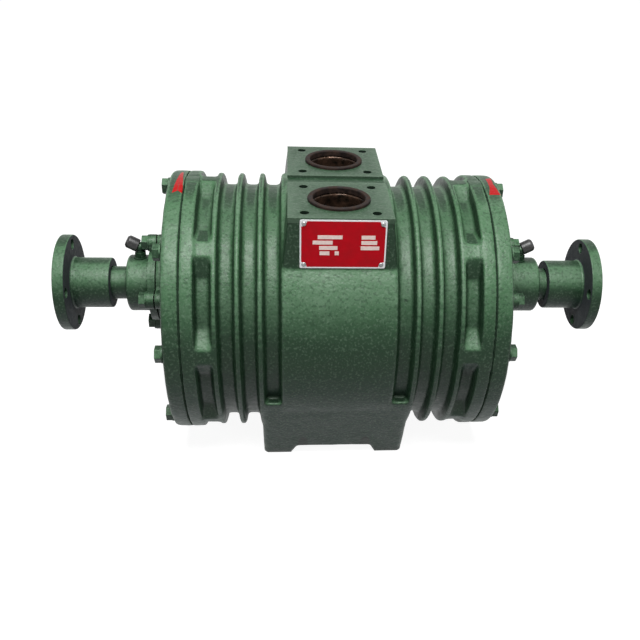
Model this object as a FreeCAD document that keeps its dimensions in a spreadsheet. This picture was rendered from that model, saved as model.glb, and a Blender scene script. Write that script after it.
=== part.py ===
import FreeCAD
import Part
import math
import os
import re
import Sketcher
from types import SimpleNamespace

# Air-cooled sliding-vane vacuum pump. A finned cylinder casting stands on a cast base and carries
# two ports on top. A shaft runs through both end covers and carries a companion flange at each end.
# The shaft lies above the cylinder's axis, so that the slotted rotor runs off centre in its chamber.
# The frame: X along the shaft, Z up, origin under the middle of the base. Lengths are millimetres.

SIZES = {
    # small gaps and run-outs that many pieces share
    "run_out": 1.0,
    "thread_run_out": 3.0,
    "small_gap": 0.1,
    "seat_clearance": 0.03,
    "thread_clearance": 0.1,
    "bolt_hole_clearance": 0.5,
    "gasket_inset": 0.5,
    # cylinder casting
    "chamber_radius": 124.0,
    "eccentricity": 23.0,
    "ground_clearance": 14.0,
    "body_half_length": 173.5,
    "wall_thickness": 18.5,
    "fin_count": 3,
    "fin_height": 13.5,
    "first_fin_gap": 23.0,
    "last_fin_gap": 21.5,
    "fin_crest_half": 2.7,
    "fin_draft": 2.2,
    "flange_step": 2.0,
    "flange_thickness": 15.0,
    "flange_draft": 1.5,
    "boss_crest_width": 17.0,
    "boss_foot_width": 70.0,
    "boss_overlap": 8.0,
    "boss_inset": 0.2,
    # port block on top of the casting
    "port_offset": 65.0,
    "port_radius": 29.0,
    "port_hole_spacing": 77.8,
    "port_hole_radius": 5.1,
    "port_hole_depth": 26.0,
    "port_seal_width": 6.0,
    "port_seal_seat": 4.0,
    "port_seal_height": 7.0,
    "port_seal_relief": 0.2,
    "block_side_margin": 18.1,
    "block_end_margin": 15.1,
    "block_flare": 7.0,
    "block_rise": 1.0,
    "block_flank": 57.25,
    "block_skirt": 6.75,
    "block_corner": 4.0,
    "pad_thickness": 3.0,
    "pad_gap": 21.0,
    # base
    "base_half_width": 88.0,
    "base_half_depth": 94.0,
    "base_draft": 23.6,
    "base_corner": 7.0,
    "foot_inner_bottom": 53.0,
    "foot_draft": 7.0,
    "foot_height": 16.0,
    "base_bolt_margin": 28.0,
    "base_bolt_radius": 5.1,
    "base_bolt_depth": 24.0,
    # end covers and their fasteners
    "gasket_thickness": 0.8,
    "cover_thickness": 19.0,
    "cover_rim_rounding": 3.5,
    "cover_bolt_inset": 13.0,
    "cover_bolt_count": 8,
    "bolt_clocking": 3.5,
    "cover_bolt_radius": 5.0,
    "cover_bolt_reach": 26.0,
    "bolt_head_width": 17.0,
    "bolt_head_height": 6.8,
    "dowel_radius": 4.0,
    "dowel_length": 20.0,
    "dowel_angle": 22.5,
    "neck_wall": 6.0,
    "neck_length": 20.0,
    "lug_radius": 10.5,
    # bearing caps
    "cap_gasket_thickness": 0.5,
    "cap_flange_thickness": 8.5,
    "cap_bolt_wall": 12.0,
    "cap_bolt_count": 4,
    "cap_bolt_radius": 5.0,
    "cap_bolt_reach": 15.0,
    "cap_spigot": 5.5,
    "cap_throat_length": 6.0,
    "cap_cavity_step": 0.5,
    "snout_wall": 6.8,
    "snout_length": 28.0,
    "snout_rounding": 4.0,
    "shaft_pass_clearance": 1.0,
    # bearings
    "bearing_bore_radius": 20.0,
    "inner_ring_wall": 4.75,
    "outer_ring_wall": 4.25,
    "outer_lip_height": 1.75,
    "bearing_side": 1.0,
    "roller_count": 14,
    "roller_radius": 5.45,
    "roller_length": 11.0,
    "roller_clearance": 0.05,
    "window_clearance": 0.15,
    "cage_half_wall": 3.0,
    "cage_rim": 2.5,
    # shaft seals
    "outer_seal_height": 7.5,
    "outer_seal_width": 8.0,
    "outer_seal_sink": 1.0,
    "inner_seal_height": 7.0,
    "inner_seal_width": 8.0,
    "seal_skin": 2.0,
    "seal_mouth": 1.0,
    "seal_end_gap": 0.5,
    "lip_clearance": 0.05,
    # rotating group
    "shaft_step": 4.0,
    "rotor_seat_step": 1.0,
    "hub_seat_step": 2.0,
    "shaft_chamfer": 1.0,
    "rotor_top_gap": 0.3,
    "rotor_end_clearance": 0.15,
    "rotor_core_hole_radius": 17.0,
    "rotor_rim_wall": 17.7,
    "rotor_key_width": 14.0,
    "rotor_key_height": 9.0,
    "rotor_key_margin": 74.0,
    "rotor_key_sink": 5.5,
    "vane_count": 4,
    "vane_angle": 45.0,
    "vane_thickness": 8.0,
    "vane_root_wall": 11.5,
    "vane_slot_clearance": 0.1,
    "vane_slot_spare": 2.0,
    "vane_tip_inset": 0.2,
    "vane_tip_rounding": 2.5,
    "vane_end_clearance": 0.2,
    # companion flanges at the shaft's ends
    "hub_gap": 19.7,
    "hub_length": 45.5,
    "hub_wall": 12.5,
    "hub_fillet": 3.0,
    "companion_thickness": 13.5,
    "companion_bolt_circle": 47.625,
    "companion_bolt_margin": 10.375,
    "companion_hole_radius": 6.25,
    "companion_hole_count": 4,
    "pilot_radius": 35.0,
    "pilot_depth": 2.4,
    "companion_clocking": 12.0,
    "hub_key_width": 10.0,
    "hub_key_height": 8.0,
    "hub_key_margin": 5.0,
    "hub_key_sink": 5.0,
    "key_clearance": 0.1,
    "washer_overlap": 3.0,
    "washer_margin": 3.0,
    "washer_thickness": 4.0,
    "shaft_end_gap": 0.5,
    "end_bolt_radius": 6.0,
    "end_bolt_reach": 30.0,
    "end_bolt_head_width": 18.0,
    "end_bolt_head_height": 5.0,
    # lubricator on each bearing cap
    "fitting_gap": 0.7,
    "fitting_tilt": 62.0,
    "fitting_boss_radius": 7.5,
    "fitting_boss_height": 1.5,
    "fitting_stem_radius": 4.0,
    "fitting_stem_depth": 7.0,
    "fitting_hex_width": 10.0,
    "fitting_hex_height": 5.0,
    "fitting_elbow_height": 11.7,
    "fitting_elbow_radius": 5.0,
    "fitting_neck_radius": 3.4,
    "fitting_neck_length": 10.0,
    "fitting_cap_start": 5.5,
    "fitting_cap_length": 12.0,
    "fitting_cap_radius": 6.3,
    "fitting_cap_chamfer": 2.0,
    # nameplate
    "plate_width": 93.0,
    "plate_thickness": 1.0,
    "plate_corner": 2.0,
    "plate_drop": 1.5,
    "plate_lift": 1.63,
    "plate_shift": 2.3,
    "rivet_inset": 4.5,
    "rivet_radius": 1.4,
    "rivet_head_radius": 2.6,
    "rivet_head_height": 1.3,
    "rivet_head_chamfer": 0.8,
    "rivet_depth": 5.0,
}

# Sizes that follow from others, as formulas
DERIVED = {
    "groove_radius": "chamber_radius + wall_thickness",
    "fin_radius": "groove_radius + fin_height",
    "flange_radius": "fin_radius + flange_step",
    "cylinder_height": "flange_radius + ground_clearance",
    "shaft_height": "cylinder_height + eccentricity",
    "block_half_width": "port_hole_spacing / 2 + block_side_margin",
    "block_half_depth": "port_offset + port_hole_spacing / 2 + block_end_margin",
    "block_height": "fin_radius + block_rise",
    "block_top": "block_height + pad_thickness",
    "block_shoulder": "block_height - block_flank",
    "block_foot": "block_shoulder - block_skirt",
    "barrel_half_length": "block_half_width + block_flare",
    "flange_inner": "body_half_length - flange_thickness",
    "fin_first": "barrel_half_length + first_fin_gap",
    "fin_last": "flange_inner - last_fin_gap",
    "fin_pitch": "(fin_last - fin_first) / (fin_count - 1)",
    "port_seal_radius": "port_radius + port_seal_width",
    "foot_inner_top": "foot_inner_bottom - foot_draft",
    "base_bolt_half_x": "(foot_inner_bottom + base_half_width) / 2",
    "base_bolt_half_y": "base_half_depth - base_bolt_margin",
    "cover_bolt_circle": "flange_radius - cover_bolt_inset",
    "cover_hole_radius": "cover_bolt_radius + bolt_hole_clearance",
    "cover_tap_radius": "cover_bolt_radius + thread_clearance",
    "inner_track_radius": "bearing_bore_radius + inner_ring_wall",
    "roller_circle": "inner_track_radius + roller_radius + roller_clearance",
    "outer_track_radius": "roller_circle + roller_radius + roller_clearance",
    "outer_lip_radius": "outer_track_radius - outer_lip_height",
    "bearing_outer_radius": "outer_track_radius + outer_ring_wall",
    "cage_width": "roller_length + 2 * cage_rim",
    "bearing_width": "cage_width + 2 * bearing_side",
    "bearing_seat_depth": "bearing_width + cap_spigot",
    "neck_radius": "bearing_outer_radius + neck_wall",
    "cap_bolt_circle": "bearing_outer_radius + cap_bolt_wall",
    "outer_seal_radius": "bearing_bore_radius + outer_seal_height",
    "outer_seal_seat": "outer_seal_width + seal_end_gap + outer_seal_sink",
    "cap_cavity_radius": "outer_seal_radius + cap_cavity_step",
    "snout_radius": "outer_seal_radius + snout_wall",
    "shaft_shoulder_radius": "bearing_bore_radius + shaft_step",
    "shaft_mid_radius": "shaft_shoulder_radius + rotor_seat_step",
    "hub_seat_radius": "bearing_bore_radius - hub_seat_step",
    "inner_seal_radius": "shaft_shoulder_radius + inner_seal_height",
    "rotor_radius": "chamber_radius - eccentricity - rotor_top_gap",
    "rotor_core_circle": "rotor_radius - rotor_rim_wall - rotor_core_hole_radius",
    "rotor_key_half_length": "body_half_length - rotor_key_margin",
    "vane_tip": "rotor_radius - vane_tip_inset",
    "vane_foot": "shaft_mid_radius + vane_root_wall",
    "hub_radius": "hub_seat_radius + hub_wall",
    "companion_radius": "companion_bolt_circle + companion_bolt_margin",
    "washer_radius": "hub_seat_radius + washer_overlap",
    "washer_recess_radius": "washer_radius + washer_margin",
    "fitting_base_out": "bolt_head_height + fitting_gap + fitting_hex_width / 2",
    "plate_foot": "sqrt(fin_radius ^ 2 - block_half_depth ^ 2) + plate_lift",
    "plate_height": "block_top - plate_drop - plate_foot",
    "plate_middle": "plate_foot + plate_height / 2",
    # places along the shaft, from the middle outwards
    "cover_inner": "body_half_length + gasket_thickness",
    "cover_outer": "cover_inner + cover_thickness",
    "neck_end": "cover_outer + neck_length",
    "cap_inner": "neck_end + cap_gasket_thickness",
    "cap_outer": "cap_inner + cap_flange_thickness",
    "snout_end": "cap_outer + snout_length",
    "bearing_inner": "neck_end - bearing_seat_depth",
    "bearing_middle": "bearing_inner + bearing_width / 2",
    "bearing_outer": "bearing_inner + bearing_width",
    "fitting_along": "cap_outer + fitting_base_out",
    "hub_start": "snout_end + hub_gap",
    "hub_end": "hub_start + hub_length",
    "companion_outer": "hub_end + companion_thickness",
    "shaft_end": "hub_end - shaft_end_gap",
    "hub_key_start": "hub_start + hub_key_margin",
    "hub_key_end": "hub_end - hub_key_margin",
    "rotor_end": "cover_inner - rotor_end_clearance",
}
size = SimpleNamespace(**SIZES)

# Two lengths closer than this count as the same
NEAR = 0.01

doc = FreeCAD.newDocument("vane_pump")
sheet = doc.addObject("Spreadsheet::Sheet", "Sizes")
for row, (size_name, number) in enumerate(SIZES.items(), start=1):
    sheet.set(f"A{row}", size_name)
    sheet.set(f"B{row}", str(number))
    sheet.setAlias(f"B{row}", size_name)
doc.recompute()


def formula(text):
    """Turn a formula in plain size names into one that reads the sheet."""
    def spelled(word):
        name = word[0]
        if name in DERIVED:
            return f"({formula(DERIVED[name])})"
        return "Sizes." + name if name in SIZES else name

    return re.sub(r"[a-z]\w+", spelled, text)


class Piece:
    """One separate piece: a body with its own label and place, built up from sketches."""

    def __init__(self, label, height="0", along="0", out="0", turn="0", about=(0, 0, 1)):
        self.body = doc.addObject("PartDesign::Body", label)
        self.body.Label = label
        self.body.AllowCompound = True
        self.body.Placement.Rotation = FreeCAD.Rotation(FreeCAD.Vector(*about), 0)
        self.bind(self.body, "Placement.Base.x", along)
        self.bind(self.body, "Placement.Base.y", out)
        self.bind(self.body, "Placement.Base.z", height)
        axis = FreeCAD.Vector(*about)
        for letter, part_of_axis in zip("xyz", axis):
            self.body.setExpression(f"Placement.Rotation.Axis.{letter}", str(part_of_axis))
        self.bind(self.body, "Placement.Rotation.Angle", turn)

    def bind(self, thing, prop, text):
        thing.setExpression(prop, formula(text))

    def sketch(self, plane, across="0", up="0", out="0", tilt=None):
        """An empty sketch on one of the body's own planes, moved by formulas and tilted about its Y."""
        support = [item for item in self.body.Origin.OriginFeatures if item.Role == plane + "_Plane"][0]
        drawing = self.body.newObject("Sketcher::SketchObject", self.body.Label + "_sketch")
        drawing.AttachmentSupport = [(support, "")]
        drawing.MapMode = "FlatFace"
        for letter, text in zip("xyz", (across, up, out)):
            self.bind(drawing, f"AttachmentOffset.Base.{letter}", text)
        if tilt is not None:
            for letter, value in zip("xyz", (0, 1, 0)):
                drawing.setExpression(f"AttachmentOffset.Rotation.Axis.{letter}", str(value))
            self.bind(drawing, "AttachmentOffset.Rotation.Angle", tilt)
        return drawing

    def fix(self, drawing, kind, *where, text):
        index = drawing.addConstraint(Sketcher.Constraint(kind, *where, 1.0))
        self.bind(drawing, f"Constraints[{index}]", text)

    def outline(self, drawing, corners):
        """A closed outline of straight lines, each corner placed by two formulas."""
        count = len(corners)
        first = drawing.GeometryCount
        start = [FreeCAD.Vector(*(10 * f(2 * math.pi * i / count) for f in (math.cos, math.sin)), 0)
                 for i in range(count)]
        for i in range(count):
            drawing.addGeometry(Part.LineSegment(start[i], start[(i + 1) % count]), False)
        for i in range(count):
            drawing.addConstraint(Sketcher.Constraint("Coincident", first + i, 2, first + (i + 1) % count, 1))
        for i, (across, up) in enumerate(corners):
            self.fix(drawing, "DistanceX", -1, 1, first + i, 1, text=across)
            self.fix(drawing, "DistanceY", -1, 1, first + i, 1, text=up)
        return drawing

    def rectangle(self, drawing, left, right, low, high):
        return self.outline(drawing, [(left, low), (right, low), (right, high), (left, high)])

    def circle(self, drawing, radius, across="0", up="0"):
        index = drawing.GeometryCount
        drawing.addGeometry(Part.Circle(FreeCAD.Vector(0, 0, 0), FreeCAD.Vector(0, 0, 1), 5), False)
        self.fix(drawing, "DistanceX", -1, 1, index, 3, text=across)
        self.fix(drawing, "DistanceY", -1, 1, index, 3, text=up)
        self.fix(drawing, "Radius", index, text=radius)
        return drawing

    def hexagon(self, drawing, width, across="0", up="0"):
        """A regular hexagon, width measured over its flats, with one corner upwards."""
        corners = []
        for i in range(6):
            sideways = round(math.sin(math.radians(60 * i)), 9)
            upwards = round(math.cos(math.radians(60 * i)), 9)
            reach = f"({width}) / {round(math.sqrt(3), 9)}"
            corners.append((f"({across}) + {sideways} * {reach}", f"({up}) + {upwards} * {reach}"))
        return self.outline(drawing, corners)

    def feature(self, kind, drawing):
        made = self.body.newObject("PartDesign::" + kind, f"{self.body.Label}_{kind.lower()}")
        made.Profile = drawing
        return made

    def volume(self):
        doc.recompute()
        return self.body.Shape.Volume

    def pad(self, drawing, length, symmetric=False, back=False):
        made = self.feature("Pad", drawing)
        self.bind(made, "Length", length)
        made.SideType = "Symmetric" if symmetric else "One side"
        made.Reversed = back
        return made

    def pocket(self, drawing, length, symmetric=False, forward=False):
        """Cut material away; the default goes against the sketch's normal."""
        before = self.volume()
        made = self.feature("Pocket", drawing)
        self.bind(made, "Length", length)
        made.SideType = "Symmetric" if symmetric else "One side"
        made.Reversed = forward
        if self.volume() > before - NEAR:
            raise RuntimeError(f"{made.Label} cuts nothing")
        return made

    def turned(self, corners, plane="XZ", up="0"):
        """A solid of revolution about the sketch's own horizontal line, from (along, radius) corners."""
        drawing = self.outline(self.sketch(plane, up=up), corners)
        made = self.feature("Revolution", drawing)
        made.ReferenceAxis = (drawing, ["H_Axis"])
        made.Angle = 360
        return made

    def around(self, made, count, drawing):
        """Repeat a feature around the normal of a sketch that stands on the axis."""
        pattern = self.body.newObject("PartDesign::PolarPattern", self.body.Label + "_pattern")
        pattern.Originals = made if isinstance(made, list) else [made]
        pattern.Axis = (drawing, ["N_Axis"])
        pattern.Angle = 360
        self.bind(pattern, "Occurrences", count)
        self.body.Tip = pattern
        return pattern

    def dress(self, kind, prop, radius, wanted):
        """Fillet or chamfer the edges for which the test, given the edge and the box, says yes."""
        doc.recompute()
        base = self.body.Tip
        box = base.Shape.BoundBox
        names = [f"Edge{i}" for i, edge in enumerate(base.Shape.Edges, start=1) if wanted(edge, box)]
        if not names:
            raise RuntimeError(f"{self.body.Label} has no such edge")
        made = self.body.newObject("PartDesign::" + kind, f"{self.body.Label}_{kind.lower()}")
        made.Base = (base, names)
        self.bind(made, prop, radius)
        return made

    def fillet(self, radius, wanted):
        return self.dress("Fillet", "Radius", radius, wanted)

    def chamfer(self, width, wanted):
        return self.dress("Chamfer", "Size", width, wanted)


def is_ring(edge, along, radius):
    """True for a full circle of this radius at this place along X."""
    curve = edge.Curve
    if not isinstance(curve, Part.Circle):
        return False
    return abs(curve.Center.x - along) < NEAR and abs(curve.Radius - radius) < NEAR


def end_ring(edge, along):
    """True for a full circle of any radius at this place along X."""
    return isinstance(edge.Curve, Part.Circle) and abs(edge.Curve.Center.x - along) < NEAR


def is_straight(edge, direction):
    """True for a straight edge that runs mostly along a direction."""
    if not isinstance(edge.Curve, Part.Line):
        return False
    return abs(edge.tangentAt(edge.FirstParameter).dot(FreeCAD.Vector(*direction))) > 0.9


def swung(corners, angle):
    """Corners given as (sideways, outwards) from an axis along X, turned about it towards +Y."""
    return [(f"({sideways}) * cos({angle}) + ({outwards}) * sin({angle})",
             f"({outwards}) * cos({angle}) - ({sideways}) * sin({angle})") for sideways, outwards in corners]


def on_circle(radius, angle):
    """Where a bolt stands on its circle: the names of the circle and hole places of a sketch."""
    (across, up), = swung([("0", radius)], angle)
    return {"across": across, "up": up}


def side_name(side):
    return "right" if side > 0 else "left"


def side_turn(side):
    """The left end's pieces are the right end's, turned half round about the vertical."""
    return "0" if side > 0 else "180"


def pump_body():
    """The finned cylinder casting with its port block and base, in one piece."""
    piece = Piece("pump_body", height="cylinder_height")
    half = [("barrel_half_length", "fin_radius"), ("barrel_half_length + fin_draft", "groove_radius")]
    for fin in range(size.fin_count):
        middle = f"fin_first + {fin} * fin_pitch"
        half.append((f"{middle} - fin_crest_half - fin_draft", "groove_radius"))
        half.append((f"{middle} - fin_crest_half", "fin_radius"))
        half.append((f"{middle} + fin_crest_half", "fin_radius"))
        half.append((f"{middle} + fin_crest_half + fin_draft", "groove_radius"))
    half.append(("flange_inner - flange_draft", "groove_radius"))
    half.append(("flange_inner", "flange_radius"))
    half.append(("body_half_length", "flange_radius"))
    half.append(("body_half_length", "0"))
    mirrored = [(f"-({along})", radius) for along, radius in reversed(half)]
    piece.turned(mirrored + half)

    block = piece.outline(piece.sketch("XZ"), [
        ("-barrel_half_length", "block_foot"), ("barrel_half_length", "block_foot"),
        ("barrel_half_length", "block_shoulder"), ("block_half_width", "block_height"),
        ("-block_half_width", "block_height"), ("-barrel_half_length", "block_shoulder")])
    piece.pad(block, "2 * block_half_depth", symmetric=True)
    piece.fillet("block_corner", lambda edge, box: is_straight(edge, (0, 0, 1))
                 and abs(edge.CenterOfMass.y) > size.port_offset)
    pads = piece.sketch("XY", out="block_height")
    for near in (-1, 1):
        inner = f"{near} * pad_gap / 2"
        outer = f"{near} * block_half_depth"
        ends = (outer, inner) if near < 0 else (inner, outer)
        piece.rectangle(pads, "-block_half_width", "block_half_width", *ends)
    piece.pad(pads, "pad_thickness")

    base_top = "(base_half_depth + (cylinder_height - chamber_radius / 2) * tan(base_draft))"
    base = piece.outline(piece.sketch("YZ"), [
        ("-base_half_depth", "-cylinder_height"), ("base_half_depth", "-cylinder_height"),
        (base_top, "-chamber_radius / 2"), ("-" + base_top, "-chamber_radius / 2")])
    piece.pad(base, "2 * base_half_width", symmetric=True)
    draft = math.radians(size.base_draft)

    def base_corner(edge, box):
        outwards = math.copysign(math.sin(draft), edge.CenterOfMass.y)
        return (is_straight(edge, (0, outwards, math.cos(draft)))
                and abs(abs(edge.CenterOfMass.x) - size.base_half_width) < NEAR)

    piece.fillet("base_corner", base_corner)

    for start in ("fin_last + fin_crest_half", "-flange_inner"):
        crest = "sqrt(fin_radius ^ 2 - boss_crest_width ^ 2 / 4) - boss_inset"
        boss = piece.outline(piece.sketch("YZ", out=start), swung([
            ("-boss_foot_width / 2", "groove_radius - boss_overlap"),
            ("boss_foot_width / 2", "groove_radius - boss_overlap"),
            ("boss_crest_width / 2", crest), ("-boss_crest_width / 2", crest)], "bolt_clocking"))
        made = piece.pad(boss, "flange_inner - fin_last - fin_crest_half")
        piece.around(made, "cover_bolt_count", piece.sketch("YZ"))

    chamber = piece.circle(piece.sketch("YZ"), "chamber_radius")
    piece.pocket(chamber, "2 * (body_half_length + run_out)", symmetric=True)

    channel = piece.outline(piece.sketch("XZ", up="-cylinder_height"), [
        ("-foot_inner_bottom", "-run_out"), ("foot_inner_bottom", "-run_out"), ("foot_inner_bottom", "0"),
        ("foot_inner_top", "foot_height"), ("-foot_inner_top", "foot_height"), ("-foot_inner_bottom", "0")])
    piece.pocket(channel, "2 * (base_half_depth + foot_height)", symmetric=True)
    feet = piece.sketch("XY", out="-cylinder_height")
    for across in (-1, 1):
        for along in (-1, 1):
            piece.circle(feet, "base_bolt_radius", f"{across} * base_bolt_half_x",
                         f"{along} * base_bolt_half_y")
    piece.pocket(feet, "base_bolt_depth", forward=True)

    ports = piece.sketch("XY", out="block_top")
    seats = piece.sketch("XY", out="block_top")
    holes = piece.sketch("XY", out="block_top")
    for near in (-1, 1):
        middle = f"{near} * port_offset"
        piece.circle(ports, "port_radius", up=middle)
        piece.circle(seats, "port_seal_radius + seat_clearance", up=middle)
        for across in (-1, 1):
            for along in (-1, 1):
                piece.circle(holes, "port_hole_radius", f"{across} * port_hole_spacing / 2",
                             f"{middle} + {along} * port_hole_spacing / 2")
    piece.pocket(ports, "block_top - chamber_radius / 2")
    piece.pocket(seats, "port_seal_seat")
    piece.pocket(holes, "port_hole_depth")

    for side in (-1, 1):
        face = f"{side} * body_half_length"
        tapped = piece.circle(piece.sketch("YZ", out=face), "cover_tap_radius",
                              **on_circle("cover_bolt_circle", "bolt_clocking"))
        made = piece.pocket(tapped, "cover_bolt_reach + thread_run_out", forward=side < 0)
        piece.around(made, "cover_bolt_count", tapped)
        piece.pocket(dowel_holes(piece, face, "seat_clearance", side), "dowel_length / 2 + run_out",
                     forward=side < 0)

    rivets = piece.sketch("XZ", across="plate_shift", up="plate_middle", out="block_half_depth")
    rivet_places(piece, rivets, "rivet_radius + thread_clearance")
    piece.pocket(rivets, "rivet_depth + run_out")


def rivet_places(piece, drawing, radius):
    for across in (-1, 1):
        for up in (-1, 1):
            piece.circle(drawing, radius, f"{across} * (plate_width / 2 - rivet_inset)",
                         f"{up} * (plate_height / 2 - rivet_inset)")
    return drawing


def dowel_holes(piece, face, clearance, side=1):
    """Two holes opposite each other on the bolt circle, between the bolts."""
    drawing = piece.sketch("YZ", out=face)
    for turn in (1, -1):
        piece.circle(drawing, f"dowel_radius + {clearance}",
                     f"{side * turn} * cover_bolt_circle * sin(dowel_angle)",
                     f"{turn} * cover_bolt_circle * cos(dowel_angle)")
    return drawing


def cover_gasket(side):
    piece = Piece(side_name(side) + "_cover_gasket", height="cylinder_height", turn=side_turn(side))
    sheet_outline = piece.sketch("YZ", out="body_half_length")
    piece.circle(sheet_outline, "flange_radius - gasket_inset")
    piece.circle(sheet_outline, "chamber_radius")
    piece.pad(sheet_outline, "gasket_thickness")
    hole = piece.circle(piece.sketch("YZ", out="cover_inner"), "cover_hole_radius",
                        **on_circle("cover_bolt_circle", f"{side} * bolt_clocking"))
    piece.around(piece.pocket(hole, "2 * gasket_thickness"), "cover_bolt_count", hole)
    piece.pocket(dowel_holes(piece, "cover_inner", "bolt_hole_clearance"), "2 * gasket_thickness")


def end_cover(side):
    """The round cover that closes the chamber and holds the bearing in a lugged neck."""
    piece = Piece(side_name(side) + "_end_cover", height="cylinder_height", turn=side_turn(side))
    plate = piece.circle(piece.sketch("YZ", out="cover_inner"), "flange_radius")
    piece.pad(plate, "cover_thickness")
    piece.fillet("cover_rim_rounding", lambda edge, box: end_ring(edge, box.XMax))
    neck = piece.circle(piece.sketch("YZ", up="eccentricity", out="cover_outer"), "neck_radius")
    piece.pad(neck, "neck_length")
    lugs(piece, side, "cover_outer", "neck_length", "lug_radius", up="eccentricity")

    def bore(start, radius, depth):
        piece.pocket(piece.circle(piece.sketch("YZ", up="eccentricity", out=start), radius), depth)

    bore("neck_end", "bearing_outer_radius + seat_clearance", "bearing_seat_depth")
    bore("bearing_inner", "inner_seal_radius + seat_clearance", "inner_seal_width + run_out")
    bore("bearing_inner", "shaft_shoulder_radius + shaft_pass_clearance", "cover_thickness + run_out")
    tapped = piece.circle(piece.sketch("YZ", up="eccentricity", out="neck_end"),
                          "cap_bolt_radius + thread_clearance",
                          **on_circle("cap_bolt_circle", f"{side} * bolt_clocking"))
    piece.around(piece.pocket(tapped, "cap_bolt_reach + thread_run_out"), "cap_bolt_count", tapped)
    hole = piece.circle(piece.sketch("YZ", out="cover_outer"), "cover_hole_radius",
                        **on_circle("cover_bolt_circle", f"{side} * bolt_clocking"))
    piece.around(piece.pocket(hole, "cover_thickness + run_out"), "cover_bolt_count", hole)
    piece.pocket(dowel_holes(piece, "cover_inner", "seat_clearance"), "dowel_length / 2 + run_out",
                 forward=True)


def lugs(piece, side, start, length, radius, up="0"):
    """Round-ended lugs for the bearing cap's bolts, standing round a neck or plate."""
    bars = piece.outline(piece.sketch("YZ", up=up, out=start), swung([
        (f"-({radius})", "neck_radius / 2"), (radius, "neck_radius / 2"),
        (radius, "cap_bolt_circle"), (f"-({radius})", "cap_bolt_circle")], f"{side} * bolt_clocking"))
    ends = piece.circle(piece.sketch("YZ", up=up, out=start), radius,
                        **on_circle("cap_bolt_circle", f"{side} * bolt_clocking"))
    piece.around([piece.pad(bars, length), piece.pad(ends, length)], "cap_bolt_count", bars)


def hex_bolts(label, side, height, seat, circle_radius, radius, reach, count, width, head):
    """A ring of hexagon bolts whose heads stand on a seat and whose shanks reach into the machine."""
    piece = Piece(label, height=height, turn=side_turn(side))
    place = on_circle(circle_radius, f"{side} * bolt_clocking")
    heads = piece.hexagon(piece.sketch("YZ", out=seat), width, **place)
    shanks = piece.circle(piece.sketch("YZ", out=seat), radius, **place)
    top = piece.pad(heads, head)
    shank = piece.pad(shanks, reach, back=True)
    if count:
        piece.around([top, shank], count, heads)
    return piece


def cover_bolts(side):
    hex_bolts(side_name(side) + "_cover_bolts", side, "cylinder_height", "cover_outer",
              "cover_bolt_circle", "cover_bolt_radius",
              "cover_thickness + gasket_thickness + cover_bolt_reach", "cover_bolt_count",
              "bolt_head_width", "bolt_head_height")


def cap_bolts(side):
    hex_bolts(side_name(side) + "_cap_bolts", side, "shaft_height", "cap_outer",
              "cap_bolt_circle", "cap_bolt_radius",
              "cap_flange_thickness + cap_gasket_thickness + cap_bolt_reach", "cap_bolt_count",
              "bolt_head_width", "bolt_head_height")


def cover_dowels(side):
    piece = Piece(side_name(side) + "_cover_dowels", height="cylinder_height", turn=side_turn(side))
    pins = dowel_holes(piece, "body_half_length + gasket_thickness / 2", "0")
    piece.pad(pins, "dowel_length", symmetric=True)


def cap_gasket(side):
    piece = Piece(side_name(side) + "_cap_gasket", height="shaft_height", turn=side_turn(side))
    disc = piece.circle(piece.sketch("YZ", out="neck_end"), "neck_radius - gasket_inset")
    piece.pad(disc, "cap_gasket_thickness")
    lugs(piece, side, "neck_end", "cap_gasket_thickness", "(lug_radius - gasket_inset)")
    ring = piece.circle(piece.sketch("YZ", out="cap_inner"), "bearing_outer_radius + seat_clearance")
    piece.pocket(ring, "2 * cap_gasket_thickness")
    hole = piece.circle(piece.sketch("YZ", out="cap_inner"), "cap_bolt_radius + bolt_hole_clearance",
                        **on_circle("cap_bolt_circle", f"{side} * bolt_clocking"))
    piece.around(piece.pocket(hole, "2 * cap_gasket_thickness"), "cap_bolt_count", hole)


def bearing_cap(side):
    """The flanged cap with a round snout that holds the oil seal and the lubricator."""
    piece = Piece(side_name(side) + "_bearing_cap", height="shaft_height", turn=side_turn(side))
    spigot_end = "bearing_outer + small_gap"
    piece.turned([
        (spigot_end, "0"), (spigot_end, "bearing_outer_radius"), ("cap_inner", "bearing_outer_radius"),
        ("cap_inner", "neck_radius"), ("cap_outer", "neck_radius"), ("cap_outer", "snout_radius"),
        ("snout_end", "snout_radius"), ("snout_end", "0")])
    piece.fillet("snout_rounding", lambda edge, box: end_ring(edge, box.XMax))
    lugs(piece, side, "cap_inner", "cap_flange_thickness", "lug_radius")
    boss = piece.sketch("XY", across="fitting_along", out="snout_radius + fitting_boss_height")
    piece.circle(boss, "fitting_boss_radius")
    piece.pad(boss, "fitting_boss_height + fitting_boss_radius / 2", back=True)

    def bore(start, radius, depth):
        piece.pocket(piece.circle(piece.sketch("YZ", out=start), radius), depth)

    bore("snout_end", "outer_seal_radius + seat_clearance", "outer_seal_seat")
    bore("snout_end", "bearing_bore_radius + shaft_pass_clearance",
         "outer_seal_seat + cap_throat_length + run_out")
    bore("snout_end - outer_seal_seat - cap_throat_length", "cap_cavity_radius",
         "snout_length + cap_flange_thickness")
    drilled = piece.sketch("XY", across="fitting_along", out="snout_radius + fitting_boss_height")
    piece.circle(drilled, "fitting_stem_radius + thread_clearance")
    piece.pocket(drilled, "2 * fitting_stem_depth")
    hole = piece.circle(piece.sketch("YZ", out="cap_outer"), "cap_bolt_radius + bolt_hole_clearance",
                        **on_circle("cap_bolt_circle", f"{side} * bolt_clocking"))
    piece.around(piece.pocket(hole, "cap_flange_thickness + run_out"), "cap_bolt_count", hole)


def fitting_piece(label, side):
    """A piece of the lubricator, with its own origin on top of the snout."""
    return Piece(label, along=f"{side} * fitting_along", height="shaft_height + snout_radius",
                 turn=side_turn(side))


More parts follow.
